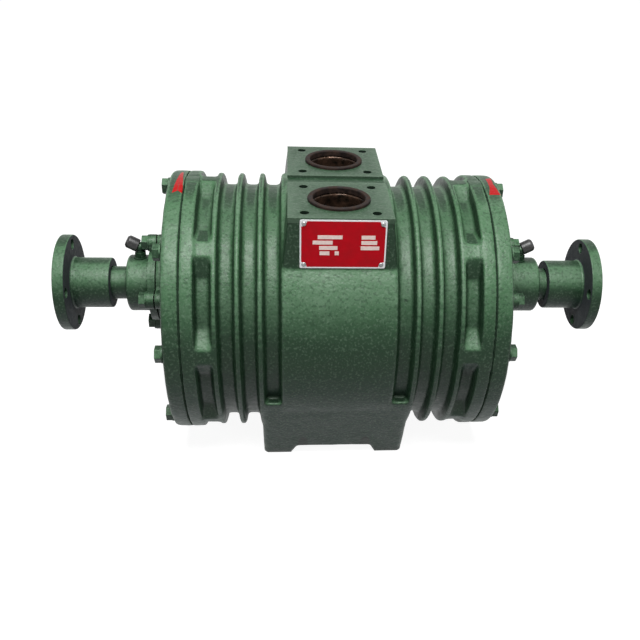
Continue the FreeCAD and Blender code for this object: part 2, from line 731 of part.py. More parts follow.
def tilted_sketch(piece, reach):
    """A sketch across the lubricator's outlet, which leans outwards from the elbow's centre."""
    return piece.sketch("XY", across=f"({reach}) * sin(fitting_tilt)",
                        out=f"fitting_elbow_height + ({reach}) * cos(fitting_tilt)",
                        tilt="fitting_tilt")


def oil_fitting(side):
    """A screwed-in elbow with a hexagon and an outlet that leans outwards."""
    piece = fitting_piece(side_name(side) + "_oil_fitting", side)
    stem = piece.circle(piece.sketch("XY", out="fitting_elbow_height"), "fitting_stem_radius")
    piece.pad(stem, "fitting_elbow_height - fitting_boss_height + fitting_stem_depth", back=True)
    piece.pad(piece.hexagon(piece.sketch("XY", out="fitting_boss_height"), "fitting_hex_width"),
              "fitting_hex_height")
    elbow = piece.body.newObject("PartDesign::AdditiveSphere", piece.body.Label + "_elbow")
    piece.bind(elbow, "Radius", "fitting_elbow_radius")
    piece.bind(elbow, "Placement.Base.z", "fitting_elbow_height")
    neck = piece.circle(tilted_sketch(piece, "0"), "fitting_neck_radius")
    piece.pad(neck, "fitting_neck_length")


def fitting_cap(side):
    """The push-on dust cap of the lubricator."""
    piece = fitting_piece(side_name(side) + "_fitting_cap", side)
    piece.pad(piece.circle(tilted_sketch(piece, "fitting_cap_start"), "fitting_cap_radius"),
              "fitting_cap_length")
    tilt = math.radians(size.fitting_tilt)
    outwards = FreeCAD.Vector(math.sin(tilt), 0, math.cos(tilt))
    elbow = FreeCAD.Vector(0, 0, size.fitting_elbow_height)
    top = size.fitting_cap_start + size.fitting_cap_length
    piece.chamfer("fitting_cap_chamfer",
                  lambda edge, box: isinstance(edge.Curve, Part.Circle)
                  and abs((edge.CenterOfMass - elbow).dot(outwards) - top) < NEAR)
    socket = piece.circle(tilted_sketch(piece, "fitting_cap_start"), "fitting_neck_radius + seat_clearance")
    piece.pocket(socket, "fitting_neck_length - fitting_cap_start + small_gap", forward=True)


def bearing_rings(side):
    outer = Piece(side_name(side) + "_bearing_outer_ring", height="shaft_height", turn=side_turn(side))
    low = "bearing_middle - roller_length / 2 - small_gap"
    high = "bearing_middle + roller_length / 2 + small_gap"
    outer.turned([
        ("bearing_inner", "outer_lip_radius"), (low, "outer_lip_radius"), (low, "outer_track_radius"),
        (high, "outer_track_radius"), (high, "outer_lip_radius"), ("bearing_outer", "outer_lip_radius"),
        ("bearing_outer", "bearing_outer_radius"), ("bearing_inner", "bearing_outer_radius")])
    inner = Piece(side_name(side) + "_bearing_inner_ring", height="shaft_height", turn=side_turn(side))
    ring = inner.sketch("YZ", out="bearing_inner")
    inner.circle(ring, "inner_track_radius")
    inner.circle(ring, "bearing_bore_radius + seat_clearance")
    inner.pad(ring, "bearing_width")


def roller_cage(side):
    piece = Piece(side_name(side) + "_roller_cage", height="shaft_height", turn=side_turn(side))
    ring = piece.sketch("YZ", out="bearing_middle - cage_width / 2")
    piece.circle(ring, "roller_circle + cage_half_wall")
    piece.circle(ring, "roller_circle - cage_half_wall")
    piece.pad(ring, "cage_width")
    window = piece.sketch("YZ", out="bearing_middle + roller_length / 2 + window_clearance")
    piece.circle(window, "roller_radius + window_clearance", up="roller_circle")
    piece.around(piece.pocket(window, "roller_length + 2 * window_clearance"), "roller_count", window)
    rollers = Piece(side_name(side) + "_rollers", height="shaft_height", turn=side_turn(side))
    roller = rollers.circle(rollers.sketch("YZ", out="bearing_middle - roller_length / 2"),
                            "roller_radius", up="roller_circle")
    rollers.around(rollers.pad(roller, "roller_length"), "roller_count", roller)


def lip_seal(label, side, start, width, outer_radius, shaft_radius):
    """A rotary shaft seal: a stiff outer case, a web and a lip that rides just off the shaft."""
    piece = Piece(label, height="shaft_height", turn=side_turn(side))
    end = f"{start} + {width}"
    lip = f"{shaft_radius} + lip_clearance"
    piece.turned([
        (start, f"{outer_radius} - seal_skin"), (start, outer_radius), (end, outer_radius), (end, lip),
        (f"{start} + seal_mouth", lip), (f"{start} + seal_mouth", f"{lip} + seal_skin"),
        (f"{end} - seal_skin", f"{lip} + seal_skin"), (f"{end} - seal_skin", f"{outer_radius} - seal_skin")])


def shaft_seals(side):
    lip_seal(side_name(side) + "_oil_seal", side, "snout_end - outer_seal_seat + seal_end_gap",
             "outer_seal_width", "outer_seal_radius", "bearing_bore_radius")
    lip_seal(side_name(side) + "_chamber_seal", side, "bearing_inner - inner_seal_width - seal_end_gap",
             "inner_seal_width", "inner_seal_radius", "shaft_shoulder_radius")


def shaft():
    """The through shaft, stepped down from the rotor seat to the flange seats."""
    piece = Piece("shaft", height="shaft_height")
    half = [("rotor_end", "shaft_mid_radius"), ("rotor_end", "shaft_shoulder_radius"),
            ("bearing_inner", "shaft_shoulder_radius"), ("bearing_inner", "bearing_bore_radius"),
            ("hub_start", "bearing_bore_radius"), ("hub_start", "hub_seat_radius"),
            ("shaft_end", "hub_seat_radius"), ("shaft_end", "0")]
    mirrored = [(f"-({along})", radius) for along, radius in reversed(half)]
    piece.turned(mirrored + half)
    piece.chamfer("shaft_chamfer", lambda edge, box: end_ring(edge, box.XMax) or end_ring(edge, box.XMin))
    seat = piece.sketch("XY", out="shaft_mid_radius")
    piece.rectangle(seat, "-rotor_key_half_length - key_clearance", "rotor_key_half_length + key_clearance",
                    "-(rotor_key_width + key_clearance) / 2", "(rotor_key_width + key_clearance) / 2")
    piece.pocket(seat, "rotor_key_sink + key_clearance")
    for side in (-1, 1):
        inner = f"{side} * (hub_key_start - key_clearance)"
        outer = f"{side} * (hub_key_end + key_clearance)"
        ends = (outer, inner) if side < 0 else (inner, outer)
        slot = piece.rectangle(piece.sketch("XY", out="hub_seat_radius"), *ends,
                               "-(hub_key_width + key_clearance) / 2", "(hub_key_width + key_clearance) / 2")
        piece.pocket(slot, "hub_key_sink + key_clearance")
        centre = piece.circle(piece.sketch("YZ", out=f"{side} * shaft_end"),
                              "end_bolt_radius + thread_clearance")
        piece.pocket(centre, "end_bolt_reach + thread_run_out", forward=side < 0)


def rotor_key():
    piece = Piece("rotor_key", height="shaft_height")
    bar = piece.rectangle(piece.sketch("XY", out="shaft_mid_radius - rotor_key_sink"),
                          "-rotor_key_half_length", "rotor_key_half_length",
                          "-rotor_key_width / 2", "rotor_key_width / 2")
    piece.pad(bar, "rotor_key_height")


def hub_key(side):
    piece = Piece(side_name(side) + "_hub_key", height="shaft_height", turn=side_turn(side))
    bar = piece.rectangle(piece.sketch("XY", out="hub_seat_radius - hub_key_sink"),
                          "hub_key_start", "hub_key_end",
                          "-hub_key_width / 2", "hub_key_width / 2")
    piece.pad(bar, "hub_key_height")


def rotor_drum():
    """The slotted rotor, keyed to the shaft, with a radial slot for each vane."""
    piece = Piece("rotor_drum", height="shaft_height")
    through = "2 * (rotor_end + run_out)"
    face = piece.sketch("YZ")
    piece.circle(face, "rotor_radius")
    piece.circle(face, "shaft_mid_radius + seat_clearance")
    piece.pad(face, "2 * rotor_end", symmetric=True)
    low = "(vane_foot - vane_slot_spare)"
    high = "(rotor_radius + run_out)"
    half_width = "(vane_thickness / 2 + vane_slot_clearance)"
    slot = piece.outline(piece.sketch("YZ"), swung([
        ("-" + half_width, low), (half_width, low), (half_width, high), ("-" + half_width, high)],
        "vane_angle"))
    piece.around(piece.pocket(slot, through, symmetric=True), "vane_count", slot)
    core = piece.circle(piece.sketch("YZ"), "rotor_core_hole_radius", up="rotor_core_circle")
    piece.around(piece.pocket(core, through, symmetric=True), "vane_count", core)
    keyway = piece.rectangle(piece.sketch("YZ"), "-(rotor_key_width + key_clearance) / 2",
                             "(rotor_key_width + key_clearance) / 2", "0",
                             "shaft_mid_radius - rotor_key_sink + rotor_key_height + key_clearance")
    piece.pocket(keyway, through, symmetric=True)


def vane(number):
    """One flat vane, drawn in to the rotor's surface, with a rounded tip."""
    piece = Piece(f"vane_{number + 1}", height="shaft_height",
                  turn=f"-(vane_angle + {number} * 360 / vane_count)", about=(1, 0, 0))
    plate = piece.rectangle(piece.sketch("YZ"), "-vane_thickness / 2", "vane_thickness / 2",
                            "vane_foot", "vane_tip")
    piece.pad(plate, "2 * (cover_inner - vane_end_clearance)", symmetric=True)
    piece.fillet("vane_tip_rounding", lambda edge, box: is_straight(edge, (1, 0, 0))
                 and edge.CenterOfMass.z > box.ZMax - NEAR)


def companion_flange(side):
    """The keyed hub with a round bolting flange that takes the drive."""
    piece = Piece(side_name(side) + "_companion_flange", height="shaft_height", turn=side_turn(side))
    piece.turned([
        ("hub_start", "hub_seat_radius + seat_clearance"), ("hub_end", "hub_seat_radius + seat_clearance"),
        ("hub_end", "washer_recess_radius"), ("companion_outer - pilot_depth", "washer_recess_radius"),
        ("companion_outer - pilot_depth", "pilot_radius"), ("companion_outer", "pilot_radius"),
        ("companion_outer", "companion_radius"), ("hub_end", "companion_radius"), ("hub_end", "hub_radius"),
        ("hub_start", "hub_radius")])
    hub_radius = size.bearing_bore_radius - size.hub_seat_step + size.hub_wall
    piece.fillet("hub_fillet",
                 lambda edge, box: is_ring(edge, box.XMax - size.companion_thickness, hub_radius))
    piece.chamfer("shaft_chamfer", lambda edge, box: is_ring(edge, box.XMin, hub_radius)
                  or is_ring(edge, box.XMax - size.companion_thickness, box.YMax)
                  or is_ring(edge, box.XMax, box.YMax))
    face = piece.sketch("YZ", out="companion_outer")
    piece.circle(face, "companion_hole_radius", f"{side} * companion_bolt_circle * sin(companion_clocking)",
                 "companion_bolt_circle * cos(companion_clocking)")
    piece.around(piece.pocket(face, "companion_thickness + run_out"), "companion_hole_count", face)
    keyway = piece.rectangle(piece.sketch("YZ", out="hub_end"), "-(hub_key_width + key_clearance) / 2",
                             "(hub_key_width + key_clearance) / 2", "0",
                             "hub_seat_radius - hub_key_sink + hub_key_height + key_clearance")
    piece.pocket(keyway, "hub_length + run_out")


def end_washer(side):
    piece = Piece(side_name(side) + "_end_washer", height="shaft_height", turn=side_turn(side))
    ring = piece.sketch("YZ", out="hub_end")
    piece.circle(ring, "washer_radius")
    piece.circle(ring, "end_bolt_radius + bolt_hole_clearance")
    piece.pad(ring, "washer_thickness")


def end_bolt(side):
    hex_bolts(side_name(side) + "_end_bolt", side, "shaft_height",
              "hub_end + washer_thickness", "0", "end_bolt_radius",
              "washer_thickness + end_bolt_reach", None, "end_bolt_head_width", "end_bolt_head_height")


def port_seal_ring(label, near):
    piece = Piece(label, height="cylinder_height")
    ring = piece.sketch("XY", out="block_top - port_seal_seat")
    piece.circle(ring, "port_seal_radius", up=f"{near} * port_offset")
    piece.circle(ring, "port_radius + port_seal_relief", up=f"{near} * port_offset")
    piece.pad(ring, "port_seal_height")


def nameplate():
    piece = Piece("nameplate", height="cylinder_height")
    plate = piece.sketch("XZ", across="plate_shift", up="plate_middle", out="block_half_depth")
    piece.rectangle(plate, "-plate_width / 2", "plate_width / 2", "-plate_height / 2", "plate_height / 2")
    piece.pad(plate, "plate_thickness")
    piece.fillet("plate_corner", lambda edge, box: is_straight(edge, (0, 1, 0)))
    holes = piece.sketch("XZ", across="plate_shift", up="plate_middle",
                         out="block_half_depth + plate_thickness")
    piece.pocket(rivet_places(piece, holes, "rivet_radius + thread_clearance"), "2 * plate_thickness")


def nameplate_rivets():
    piece = Piece("nameplate_rivets", height="cylinder_height")
    face = "block_half_depth + plate_thickness"
    heads = piece.sketch("XZ", across="plate_shift", up="plate_middle", out=face)
    piece.pad(rivet_places(piece, heads, "rivet_head_radius"), "rivet_head_height")
    piece.chamfer("rivet_head_chamfer", lambda edge, box: isinstance(edge.Curve, Part.Circle)
                  and edge.CenterOfMass.y < box.YMin + NEAR)
    stems = piece.sketch("XZ", across="plate_shift", up="plate_middle", out=face)
    piece.pad(rivet_places(piece, stems, "rivet_radius"), "plate_thickness + rivet_depth", back=True)


pump_body()
port_seal_ring("front_port_seal_ring", -1)
port_seal_ring("rear_port_seal_ring", 1)
nameplate()
nameplate_rivets()
for side in (-1, 1):
    cover_gasket(side)
    end_cover(side)
    cover_bolts(side)
    cover_dowels(side)
    cap_gasket(side)
    bearing_cap(side)
    cap_bolts(side)
    oil_fitting(side)
    fitting_cap(side)
    bearing_rings(side)
    roller_cage(side)
    shaft_seals(side)
    companion_flange(side)
    hub_key(side)
    end_washer(side)
    end_bolt(side)
shaft()
rotor_key()
rotor_drum()
for number in range(size.vane_count):
    vane(number)
doc.recompute()

for thing in doc.Objects:
    if "Invalid" in thing.State or "Error" in thing.State:
        raise RuntimeError(f"{thing.Label} failed: {thing.State}")
bodies = [thing for thing in doc.Objects if thing.TypeId == "PartDesign::Body"]
for thing in bodies:
    if thing.Shape.isNull() or not thing.Shape.isValid() or not thing.Shape.Solids:
        raise RuntimeError(f"{thing.Label} has no valid solid")
os.makedirs("parts", exist_ok=True)
for thing in bodies:
    thing.Shape.exportStep(f"parts/{thing.Label}.step")
    print(thing.Label, len(thing.Shape.Solids), "solids,", round(thing.Shape.Volume), "cubic mm")
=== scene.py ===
import math

import bmesh
import bpy
from mathutils import Matrix, Vector


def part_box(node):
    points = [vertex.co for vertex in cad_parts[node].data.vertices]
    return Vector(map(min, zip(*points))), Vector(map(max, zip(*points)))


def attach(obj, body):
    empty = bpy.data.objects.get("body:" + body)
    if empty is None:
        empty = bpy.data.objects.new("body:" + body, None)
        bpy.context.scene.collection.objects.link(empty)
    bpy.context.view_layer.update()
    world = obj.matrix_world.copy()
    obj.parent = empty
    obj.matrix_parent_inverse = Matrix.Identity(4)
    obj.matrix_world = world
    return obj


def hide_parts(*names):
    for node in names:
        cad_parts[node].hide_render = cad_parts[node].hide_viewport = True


bl_info = {
    "name": "Sliding-vane vacuum pump",
    "version": (1, 0, 0),
    "blender": (4, 5, 0),
    "location": "3D View > Sidebar > Vane pump",
    "description": "Dresses the vacuum pump: castings, fasteners, lubricators, plate and finishes",
    "category": "Add Mesh",
}

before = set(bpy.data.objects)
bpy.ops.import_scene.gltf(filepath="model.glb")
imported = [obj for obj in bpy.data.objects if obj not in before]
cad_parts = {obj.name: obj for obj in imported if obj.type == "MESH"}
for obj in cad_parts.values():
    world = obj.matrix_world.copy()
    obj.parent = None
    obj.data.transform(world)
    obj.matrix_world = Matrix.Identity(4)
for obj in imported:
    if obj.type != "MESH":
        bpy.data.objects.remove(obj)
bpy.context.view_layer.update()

SIDES = ("left", "right")
RIGHT_WAY = {"left": -1, "right": 1}
VANE_COUNT = 4

# The pump's own lines in the frame, in metres
CYLINDER_HEIGHT = 0.172
CHAMBER_RADIUS = 0.1262
RIM_RADIUS = 0.158
RIM_INSIDE = 0.148
PORT_OFFSET = 0.065
PORT_RADIUS = 0.0345
PORT_DEPTH_END = 0.08
PORT_HOLE_STEP = 0.0389
PORT_HOLE_RADIUS = 0.0062
PORT_HOLE_TOP = 0.3312
PAD_CUT = 0.3291
PAD_CUT_RIM = 0.3295
SNOUT_ROUNDING = 0.0045
SNOUT_TOP = 0.2293
STEEL_STARTS = (0.2415, 0.240)
HEAD_HEIGHT = 0.0068
HEAD_SPREAD = 0.0221
WASHER_RADIUS = 0.0102

# Points of a casting below this height are milled flat, to the plane of the frame's origin
MILLED_FOOT = 0.0010

# How the lubricators differ from the solids
ELBOW_SCALE = 1.18
DUST_CAP_SCALE = 1.25
DUST_CAP_INWARDS = 0.0025
DUST_CAP_UPWARDS = 0.0015

# Broken edges of the small pieces, in metres
ELBOW_EDGE = 0.0005
DUST_CAP_EDGE = 0.0008
RING_EDGE = 0.0012
RIVET_EDGE = 0.0005
PLATE_EDGE = 0.0002
PLATE_CORNER = 0.0015

# Angles in degrees: under the first two faces are one, over the second an edge is broken
FLAT_ANGLE = 0.5
SHARP_ANGLE = 28.0

# Triangles that a piece may have
CASTING_LIMIT = 190000
COVER_LIMIT = 120000

# Marks on the covers' rims, as convex patches with corners in millimetres: the place along the
# shaft, and the length of rim from the top towards the back
LEFT_MARK = (((-181.8, 27.0), (-180.2, 27.0), (-180.0, -31.5), (-186.0, -36.4)),
             ((-181.0, 27.0), (-179.2, 27.0), (-173.5, -37.5), (-180.0, -31.5)))
RIGHT_MARK = (((182.0, 17.0), (190.0, 22.0), (187.5, -6.0), (181.0, -16.0)),
              ((181.0, -14.0), (187.8, -5.0), (191.5, -30.5), (177.3, -31.0)))

# Blank fields of the plate, in metres from its middle: the height of a row, and where each of
# its fields starts and ends
PLATE_ROWS = ((0.0084, ((-0.0274, -0.0010), (0.0194, 0.0343))),
              (0.0022, ((-0.0327, -0.0114), (0.0194, 0.0364))),
              (-0.0040, ((-0.0257, -0.0061), (0.0189, 0.0390))),
              (-0.0102, ((-0.0252, -0.0146), (-0.0089, -0.0045))))

# Colours that no setting holds
# The grey for the flanges' faces turned to the pump is painted shade.
FLANGE_BACK_SHADE = (0.024, 0.029, 0.032)
SHAFT_STEEL = (0.45, 0.45, 0.45)
OIL_DREGS = (0.010, 0.008, 0.006)
HOLE_SHADE = (0.006, 0.012, 0.008)
PAPER_GREY = (0.22, 0.22, 0.22, 1.0)
ROOM_COLOUR = (0.96, 0.98, 1.0, 1.0)
WHITE = (1.0, 1.0, 1.0, 1.0)

# Stage: the floor lies just under the pump's feet, and glows to the camera a little less near
# the pump, which leaves its shadow
FLOOR_RADIUS = 14.0
FLOOR_GAP = 0.0003
GLOW_DISTANCES = (0.6, 1.8)
GLOW_STRENGTHS = (0.93, 1.0)
LAMP_TARGET = (0.0, 0.0, 0.17)
LAMPS = (("key_lamp", (-0.05, -0.66, 1.70), (1.00, 0.95), "key_power"),
         ("left_lamp", (-1.7, -0.7, 0.9), (0.9, 0.7), "side_power"),
         ("right_lamp", (1.7, -0.7, 0.9), (0.9, 0.7), "side_power"))

# Camera that was fitted to the photograph: its place, its turn in radians, and the picture shift
CAMERA_PLACE = (-0.0553, -0.9238, 0.6662)
CAMERA_YAW = 0.112
CAMERA_PITCH = 0.549
CAMERA_ROLL = 0.055
CAMERA_SENSOR = 36.0
CAMERA_SHIFT = (-0.0750, 0.0452)


class CastingSettings(bpy.types.PropertyGroup):
    voxel: bpy.props.FloatProperty(
        name="Casting detail",
        description="Size of the grid that the castings are rebuilt on; finer keeps sharper edges",
        default=0.0019, min=0.001, max=0.006, unit="LENGTH", subtype="DISTANCE")
    smoothing: bpy.props.IntProperty(
        name="Edge smoothing",
        description="How often the casting is smoothed, which rounds edges and fills corners",
        default=5, min=0, max=30)
    unevenness: bpy.props.FloatProperty(
        name="Casting unevenness",
        description="Depth of the waviness that the sand mould leaves",
        default=0.0007, min=0.0, max=0.003, unit="LENGTH", subtype="DISTANCE")
    waviness: bpy.props.FloatProperty(
        name="Width of the waves",
        description="How far apart the waves of the casting's skin are",
        default=0.022, min=0.005, max=0.1, unit="LENGTH", subtype="DISTANCE")
    machined_edge: bpy.props.FloatProperty(
        name="Machined edge",
        description="Width of the broken edge on turned and milled pieces",
        default=0.0009, min=0.0002, max=0.003, unit="LENGTH", subtype="DISTANCE")
    pad_sink: bpy.props.FloatProperty(
        name="Pad sink",
        description="How far the milled port pads reach down into the casting",
        default=0.003, min=0.001, max=0.01, unit="LENGTH", subtype="DISTANCE")
    washer: bpy.props.FloatProperty(
        name="Spring washer",
        description="Thickness of the washer under the painted bolt heads",
        default=0.0022, min=0.0005, max=0.004, unit="LENGTH", subtype="DISTANCE")
    snout_reach: bpy.props.FloatProperty(
        name="Longer right snout",
        description="How much further the right bearing cap's snout reaches than the left one's",
        default=0.0075, min=0.0, max=0.012, unit="LENGTH", subtype="DISTANCE")
    bolt_edge: bpy.props.FloatProperty(
        name="Bolt edge",
        description="Width of the rounding that the paint gives to the bolt heads",
        default=0.0011, min=0.0002, max=0.003, unit="LENGTH", subtype="DISTANCE")


class FinishSettings(bpy.types.PropertyGroup):
    enamel: bpy.props.FloatVectorProperty(
        name="Enamel", description="Green of the enamel", subtype="COLOR", size=3,
        min=0.0, max=1.0, default=(0.037, 0.095, 0.043))
    # Painted shade: this darker green colours upright faces, where little light falls, and the
    # random dimples.
    enamel_shaded: bpy.props.FloatVectorProperty(
        name="Deep enamel", description="Green on upright faces, where painted shade falls",
        subtype="COLOR", size=3, min=0.0, max=1.0, default=(0.006, 0.022, 0.009))
    # Painted shade with a bluish painted reflection: the green of faces turned down.
    enamel_under_shade: bpy.props.FloatVectorProperty(
        name="Enamel below", description="Bluish green of the undersides", subtype="COLOR", size=3,
        min=0.0, max=1.0, default=(0.008, 0.025, 0.018))
    # Painted highlight: this pale green lights faces tilted up, and also colours random specks and
    # rubbed ridges.
    enamel_pale_and_highlight: bpy.props.FloatVectorProperty(
        name="Pale enamel and highlight", description="Pale green of thin enamel and of painted highlights", subtype="COLOR",
        size=3, min=0.0, max=1.0, default=(0.108, 0.168, 0.114))
    # Painted shade as well as oily soiling: this dark green darkens corners and crevices.
    grime_and_shade: bpy.props.FloatVectorProperty(
        name="Grime", description="Dark oily soiling and painted shade in the corners", subtype="COLOR", size=3,
        min=0.0, max=1.0, default=(0.006, 0.014, 0.008))
    signal_red: bpy.props.FloatVectorProperty(
        name="Signal red", description="Red of the hand-painted marks on the rims",
        subtype="COLOR", size=3, min=0.0, max=1.0, default=(0.40, 0.0002, 0.0006))
    plate_red: bpy.props.FloatVectorProperty(
        name="Plate red", description="Red ground of the plate", subtype="COLOR", size=3,
        min=0.0, max=1.0, default=(0.36, 0.0005, 0.006))
    bare_metal: bpy.props.FloatVectorProperty(
        name="Bare metal", description="Bare aluminium of the plate", subtype="COLOR", size=3,
        min=0.0, max=1.0, default=(0.60, 0.61, 0.62))
    bore_oil: bpy.props.FloatVectorProperty(
        name="Oily bore", description="Brown oil film in the ports and the chamber",
        subtype="COLOR", size=3, min=0.0, max=1.0, default=(0.060, 0.034, 0.022))


class PlateSettings(bpy.types.PropertyGroup):
    border: bpy.props.FloatProperty(
        name="Border", description="Width of the plate's bare border", default=0.0016,
        min=0.0005, max=0.005, unit="LENGTH", subtype="DISTANCE")
    corner_pad: bpy.props.FloatProperty(
        name="Corner pad", description="Radius of the bare corner pads under the rivets",
        default=0.0068, min=0.004, max=0.02, unit="LENGTH", subtype="DISTANCE")
    relief: bpy.props.FloatProperty(
        name="Relief", description="How far the bare fields stand above the red ground",
        default=0.00025, min=0.0001, max=0.001, unit="LENGTH", subtype="DISTANCE")
    field_height: bpy.props.FloatProperty(
        name="Field height", description="Height of one blank field", default=0.0044,
        min=0.001, max=0.01, unit="LENGTH", subtype="DISTANCE")


class StageSettings(bpy.types.PropertyGroup):
    key_power: bpy.props.FloatProperty(
        name="Key lamp", description="Power of the large lamp above the front", default=54.0,
        min=0.0, max=500.0, unit="POWER", subtype="POWER")
    side_power: bpy.props.FloatProperty(
        name="Side lamps", description="Power of each weak lamp beside the pump", default=5.0,
        min=0.0, max=500.0, unit="POWER", subtype="POWER")
    room_light: bpy.props.FloatProperty(
        name="Room light", description="Strength of the even light from all round", default=0.045,
        min=0.0, max=2.0, subtype="FACTOR")
    focal_length: bpy.props.FloatProperty(
        name="Focal length", description="Focal length of the camera in millimetres",
        default=46.10, min=10.0, max=200.0, unit="CAMERA")


class Finish:
    """One procedural material, built up node by node; patterns read Object coordinates."""

    made = {}

    def __init__(self, name):
        self.material = bpy.data.materials.new(name)
        self.material.use_nodes = True
        self.tree = self.material.node_tree
        self.tree.nodes.clear()
        self.output = self.add("ShaderNodeOutputMaterial")
        self.shader = self.add("ShaderNodeBsdfPrincipled")
        self.link(self.shader.outputs["BSDF"], self.output.inputs["Surface"])
        coordinates = self.add("ShaderNodeTexCoord")
        self.place = coordinates.outputs["Object"]
        self.faces = coordinates.outputs["Normal"]
        Finish.made[name] = self.material

    def add(self, kind, **settings):
        node = self.tree.nodes.new(kind)
        for key, value in settings.items():
            setattr(node, key, value)
        return node

    def link(self, source, target):
        self.tree.links.new(source, target)

    def put(self, socket, value):
        """Link a socket to another, or set it to a plain value."""
        if isinstance(value, bpy.types.NodeSocket):
            self.link(value, socket)
        else:
            socket.default_value = value

    def calc(self, operation, *values):
        node = self.add("ShaderNodeMath", operation=operation)
        for socket, value in zip(node.inputs, values):
            self.put(socket, value)
        return node.outputs[0]

    def plus(self, first, second):
        return self.calc("ADD", first, second)

    def minus(self, first, second):
        return self.calc("SUBTRACT", first, second)

    def times(self, first, second):
        return self.calc("MULTIPLY", first, second)

    def length(self, first, second):
        """Length of a flat vector from its two parts."""
        return self.calc("SQRT", self.plus(self.times(first, first), self.times(second, second)))

    def remap(self, value, low, high, to_low=0.0, to_high=1.0, smooth=False):
        node = self.add("ShaderNodeMapRange", clamp=True)
        if smooth:
            node.interpolation_type = "SMOOTHSTEP"
        for socket, number in zip(node.inputs[:5], (value, low, high, to_low, to_high)):
            self.put(socket, number)
        return node.outputs[0]

    def noise(self, size, detail=2.0, roughness=0.5, place=None):
        node = self.add("ShaderNodeTexNoise")
        self.put(node.inputs["Vector"], place or self.place)
        node.inputs["Scale"].default_value = 1.0 / size
        node.inputs["Detail"].default_value = detail
        node.inputs["Roughness"].default_value = roughness
        return node.outputs["Fac"]

    def cells(self, size):
        node = self.add("ShaderNodeTexVoronoi", feature="SMOOTH_F1")
        self.put(node.inputs["Vector"], self.place)
        node.inputs["Scale"].default_value = 1.0 / size
        return node.outputs["Distance"]

    def stretched(self, factors):
        node = self.add("ShaderNodeMapping")
        self.link(self.place, node.inputs["Vector"])
        node.inputs["Scale"].default_value = factors
        return node.outputs["Vector"]

    def parts(self, direction):
        node = self.add("ShaderNodeSeparateXYZ")
        self.link(direction, node.inputs[0])
        return node.outputs[0], node.outputs[1], node.outputs[2]

    def split(self):
        """The place across, along and up, in the piece's own axes."""
        return self.parts(self.place)

    def facing(self):
        """The three parts of the direction that a surface faces, in the piece's own axes."""
        return self.parts(self.faces)

    def hidden(self, reach):
        """1 in narrow clefts and corners, where shade falls, 0 where the surface lies open."""
        node = self.add("ShaderNodeAmbientOcclusion", samples=6)
        node.inputs["Distance"].default_value = reach
        return self.remap(node.outputs["AO"], 0.80, 0.25)

    def mix(self, factor, first, second):
        node = self.add("ShaderNodeMix", data_type="RGBA")
        self.put(node.inputs["Factor"], factor)
        sockets = [item for item in node.inputs if item.type == "RGBA"]
        for socket, value in zip(sockets, (first, second)):
            plain = not isinstance(value, bpy.types.NodeSocket)
            self.put(socket, (*value[:3], 1.0) if plain else value)
        return [item for item in node.outputs if item.type == "RGBA"][0]

    def bump(self, height, distance, strength=1.0, normal=None):
        node = self.add("ShaderNodeBump")
        self.put(node.inputs["Height"], height)
        node.inputs["Distance"].default_value = distance
        node.inputs["Strength"].default_value = strength
        if normal is not None:
            self.link(normal, node.inputs["Normal"])
        return node.outputs["Normal"]

    def surface(self, color, roughness, metallic, normal, specular=0.5):
        self.link(color, self.shader.inputs["Base Color"])
        self.put(self.shader.inputs["Roughness"], roughness)
        self.put(self.shader.inputs["Metallic"], metallic)
        self.shader.inputs["Specular IOR Level"].default_value = specular
        self.link(normal, self.shader.inputs["Normal"])


def port_distance(finish):
    """Distance from the nearer port's axis, and the height above the cylinder's axis."""
    across, along, up = finish.split()
    folded = finish.minus(finish.calc("ABSOLUTE", along), PORT_OFFSET)
    return finish.length(across, folded), finish.minus(up, CYLINDER_HEIGHT)


def tapped_holes(finish):
    """1 inside the eight tapped holes round the ports, 0 elsewhere."""
    across, along, up = finish.split()
    sideways = finish.minus(finish.calc("ABSOLUTE", across), PORT_HOLE_STEP)
    folded = finish.minus(finish.calc("ABSOLUTE", along), PORT_OFFSET)
    lengthways = finish.minus(finish.calc("ABSOLUTE", folded), PORT_HOLE_STEP)
    near = finish.calc("LESS_THAN", finish.length(sideways, lengthways), PORT_HOLE_RADIUS)
    return finish.times(finish.calc("LESS_THAN", up, PORT_HOLE_TOP), near)


def enamel_shades(finish, colours, patches):
    """Painted shade on upright faces and level tops, a painted highlight on faces tilted up,
    painted shade and a bluish painted reflection below, and specks and dimples.
    """
    upwards = finish.facing()[2]
    # Painted light and shade by the way a face turns: upright faces darkest, faces tilted up lit,
    # level tops darker again.
    painted_light = finish.times(finish.remap(upwards, 0.10, 0.66, smooth=True),
                         finish.remap(upwards, 0.93, 0.995, 1.0, 0.12, smooth=True))
    color = finish.mix(painted_light, colours.enamel_shaded, colours.enamel)
    broad = finish.noise(0.06, detail=3.0, roughness=0.6)
    cloud = finish.plus(finish.times(broad, 0.6), finish.times(patches, 0.4))
    # Painted highlight: pale patches only where faces tilt up towards the light.
    thin = finish.times(finish.remap(cloud, 0.42, 0.66), painted_light)
    color = finish.mix(finish.times(thin, 0.45), color, colours.enamel_pale_and_highlight)
    # Painted shade and a bluish painted reflection on faces turned down.
    under = finish.remap(upwards, -0.02, -0.45, 0.0, 0.9)
    color = finish.mix(under, color, colours.enamel_under_shade)
    specks = finish.remap(finish.noise(0.0026, detail=2.0), 0.52, 0.70)
    color = finish.mix(finish.times(specks, 0.30), color, colours.enamel_pale_and_highlight)
    dimples = finish.remap(finish.noise(0.0034, detail=1.0), 0.46, 0.34)
    return finish.mix(finish.times(dimples, 0.45), color, colours.enamel_shaded)


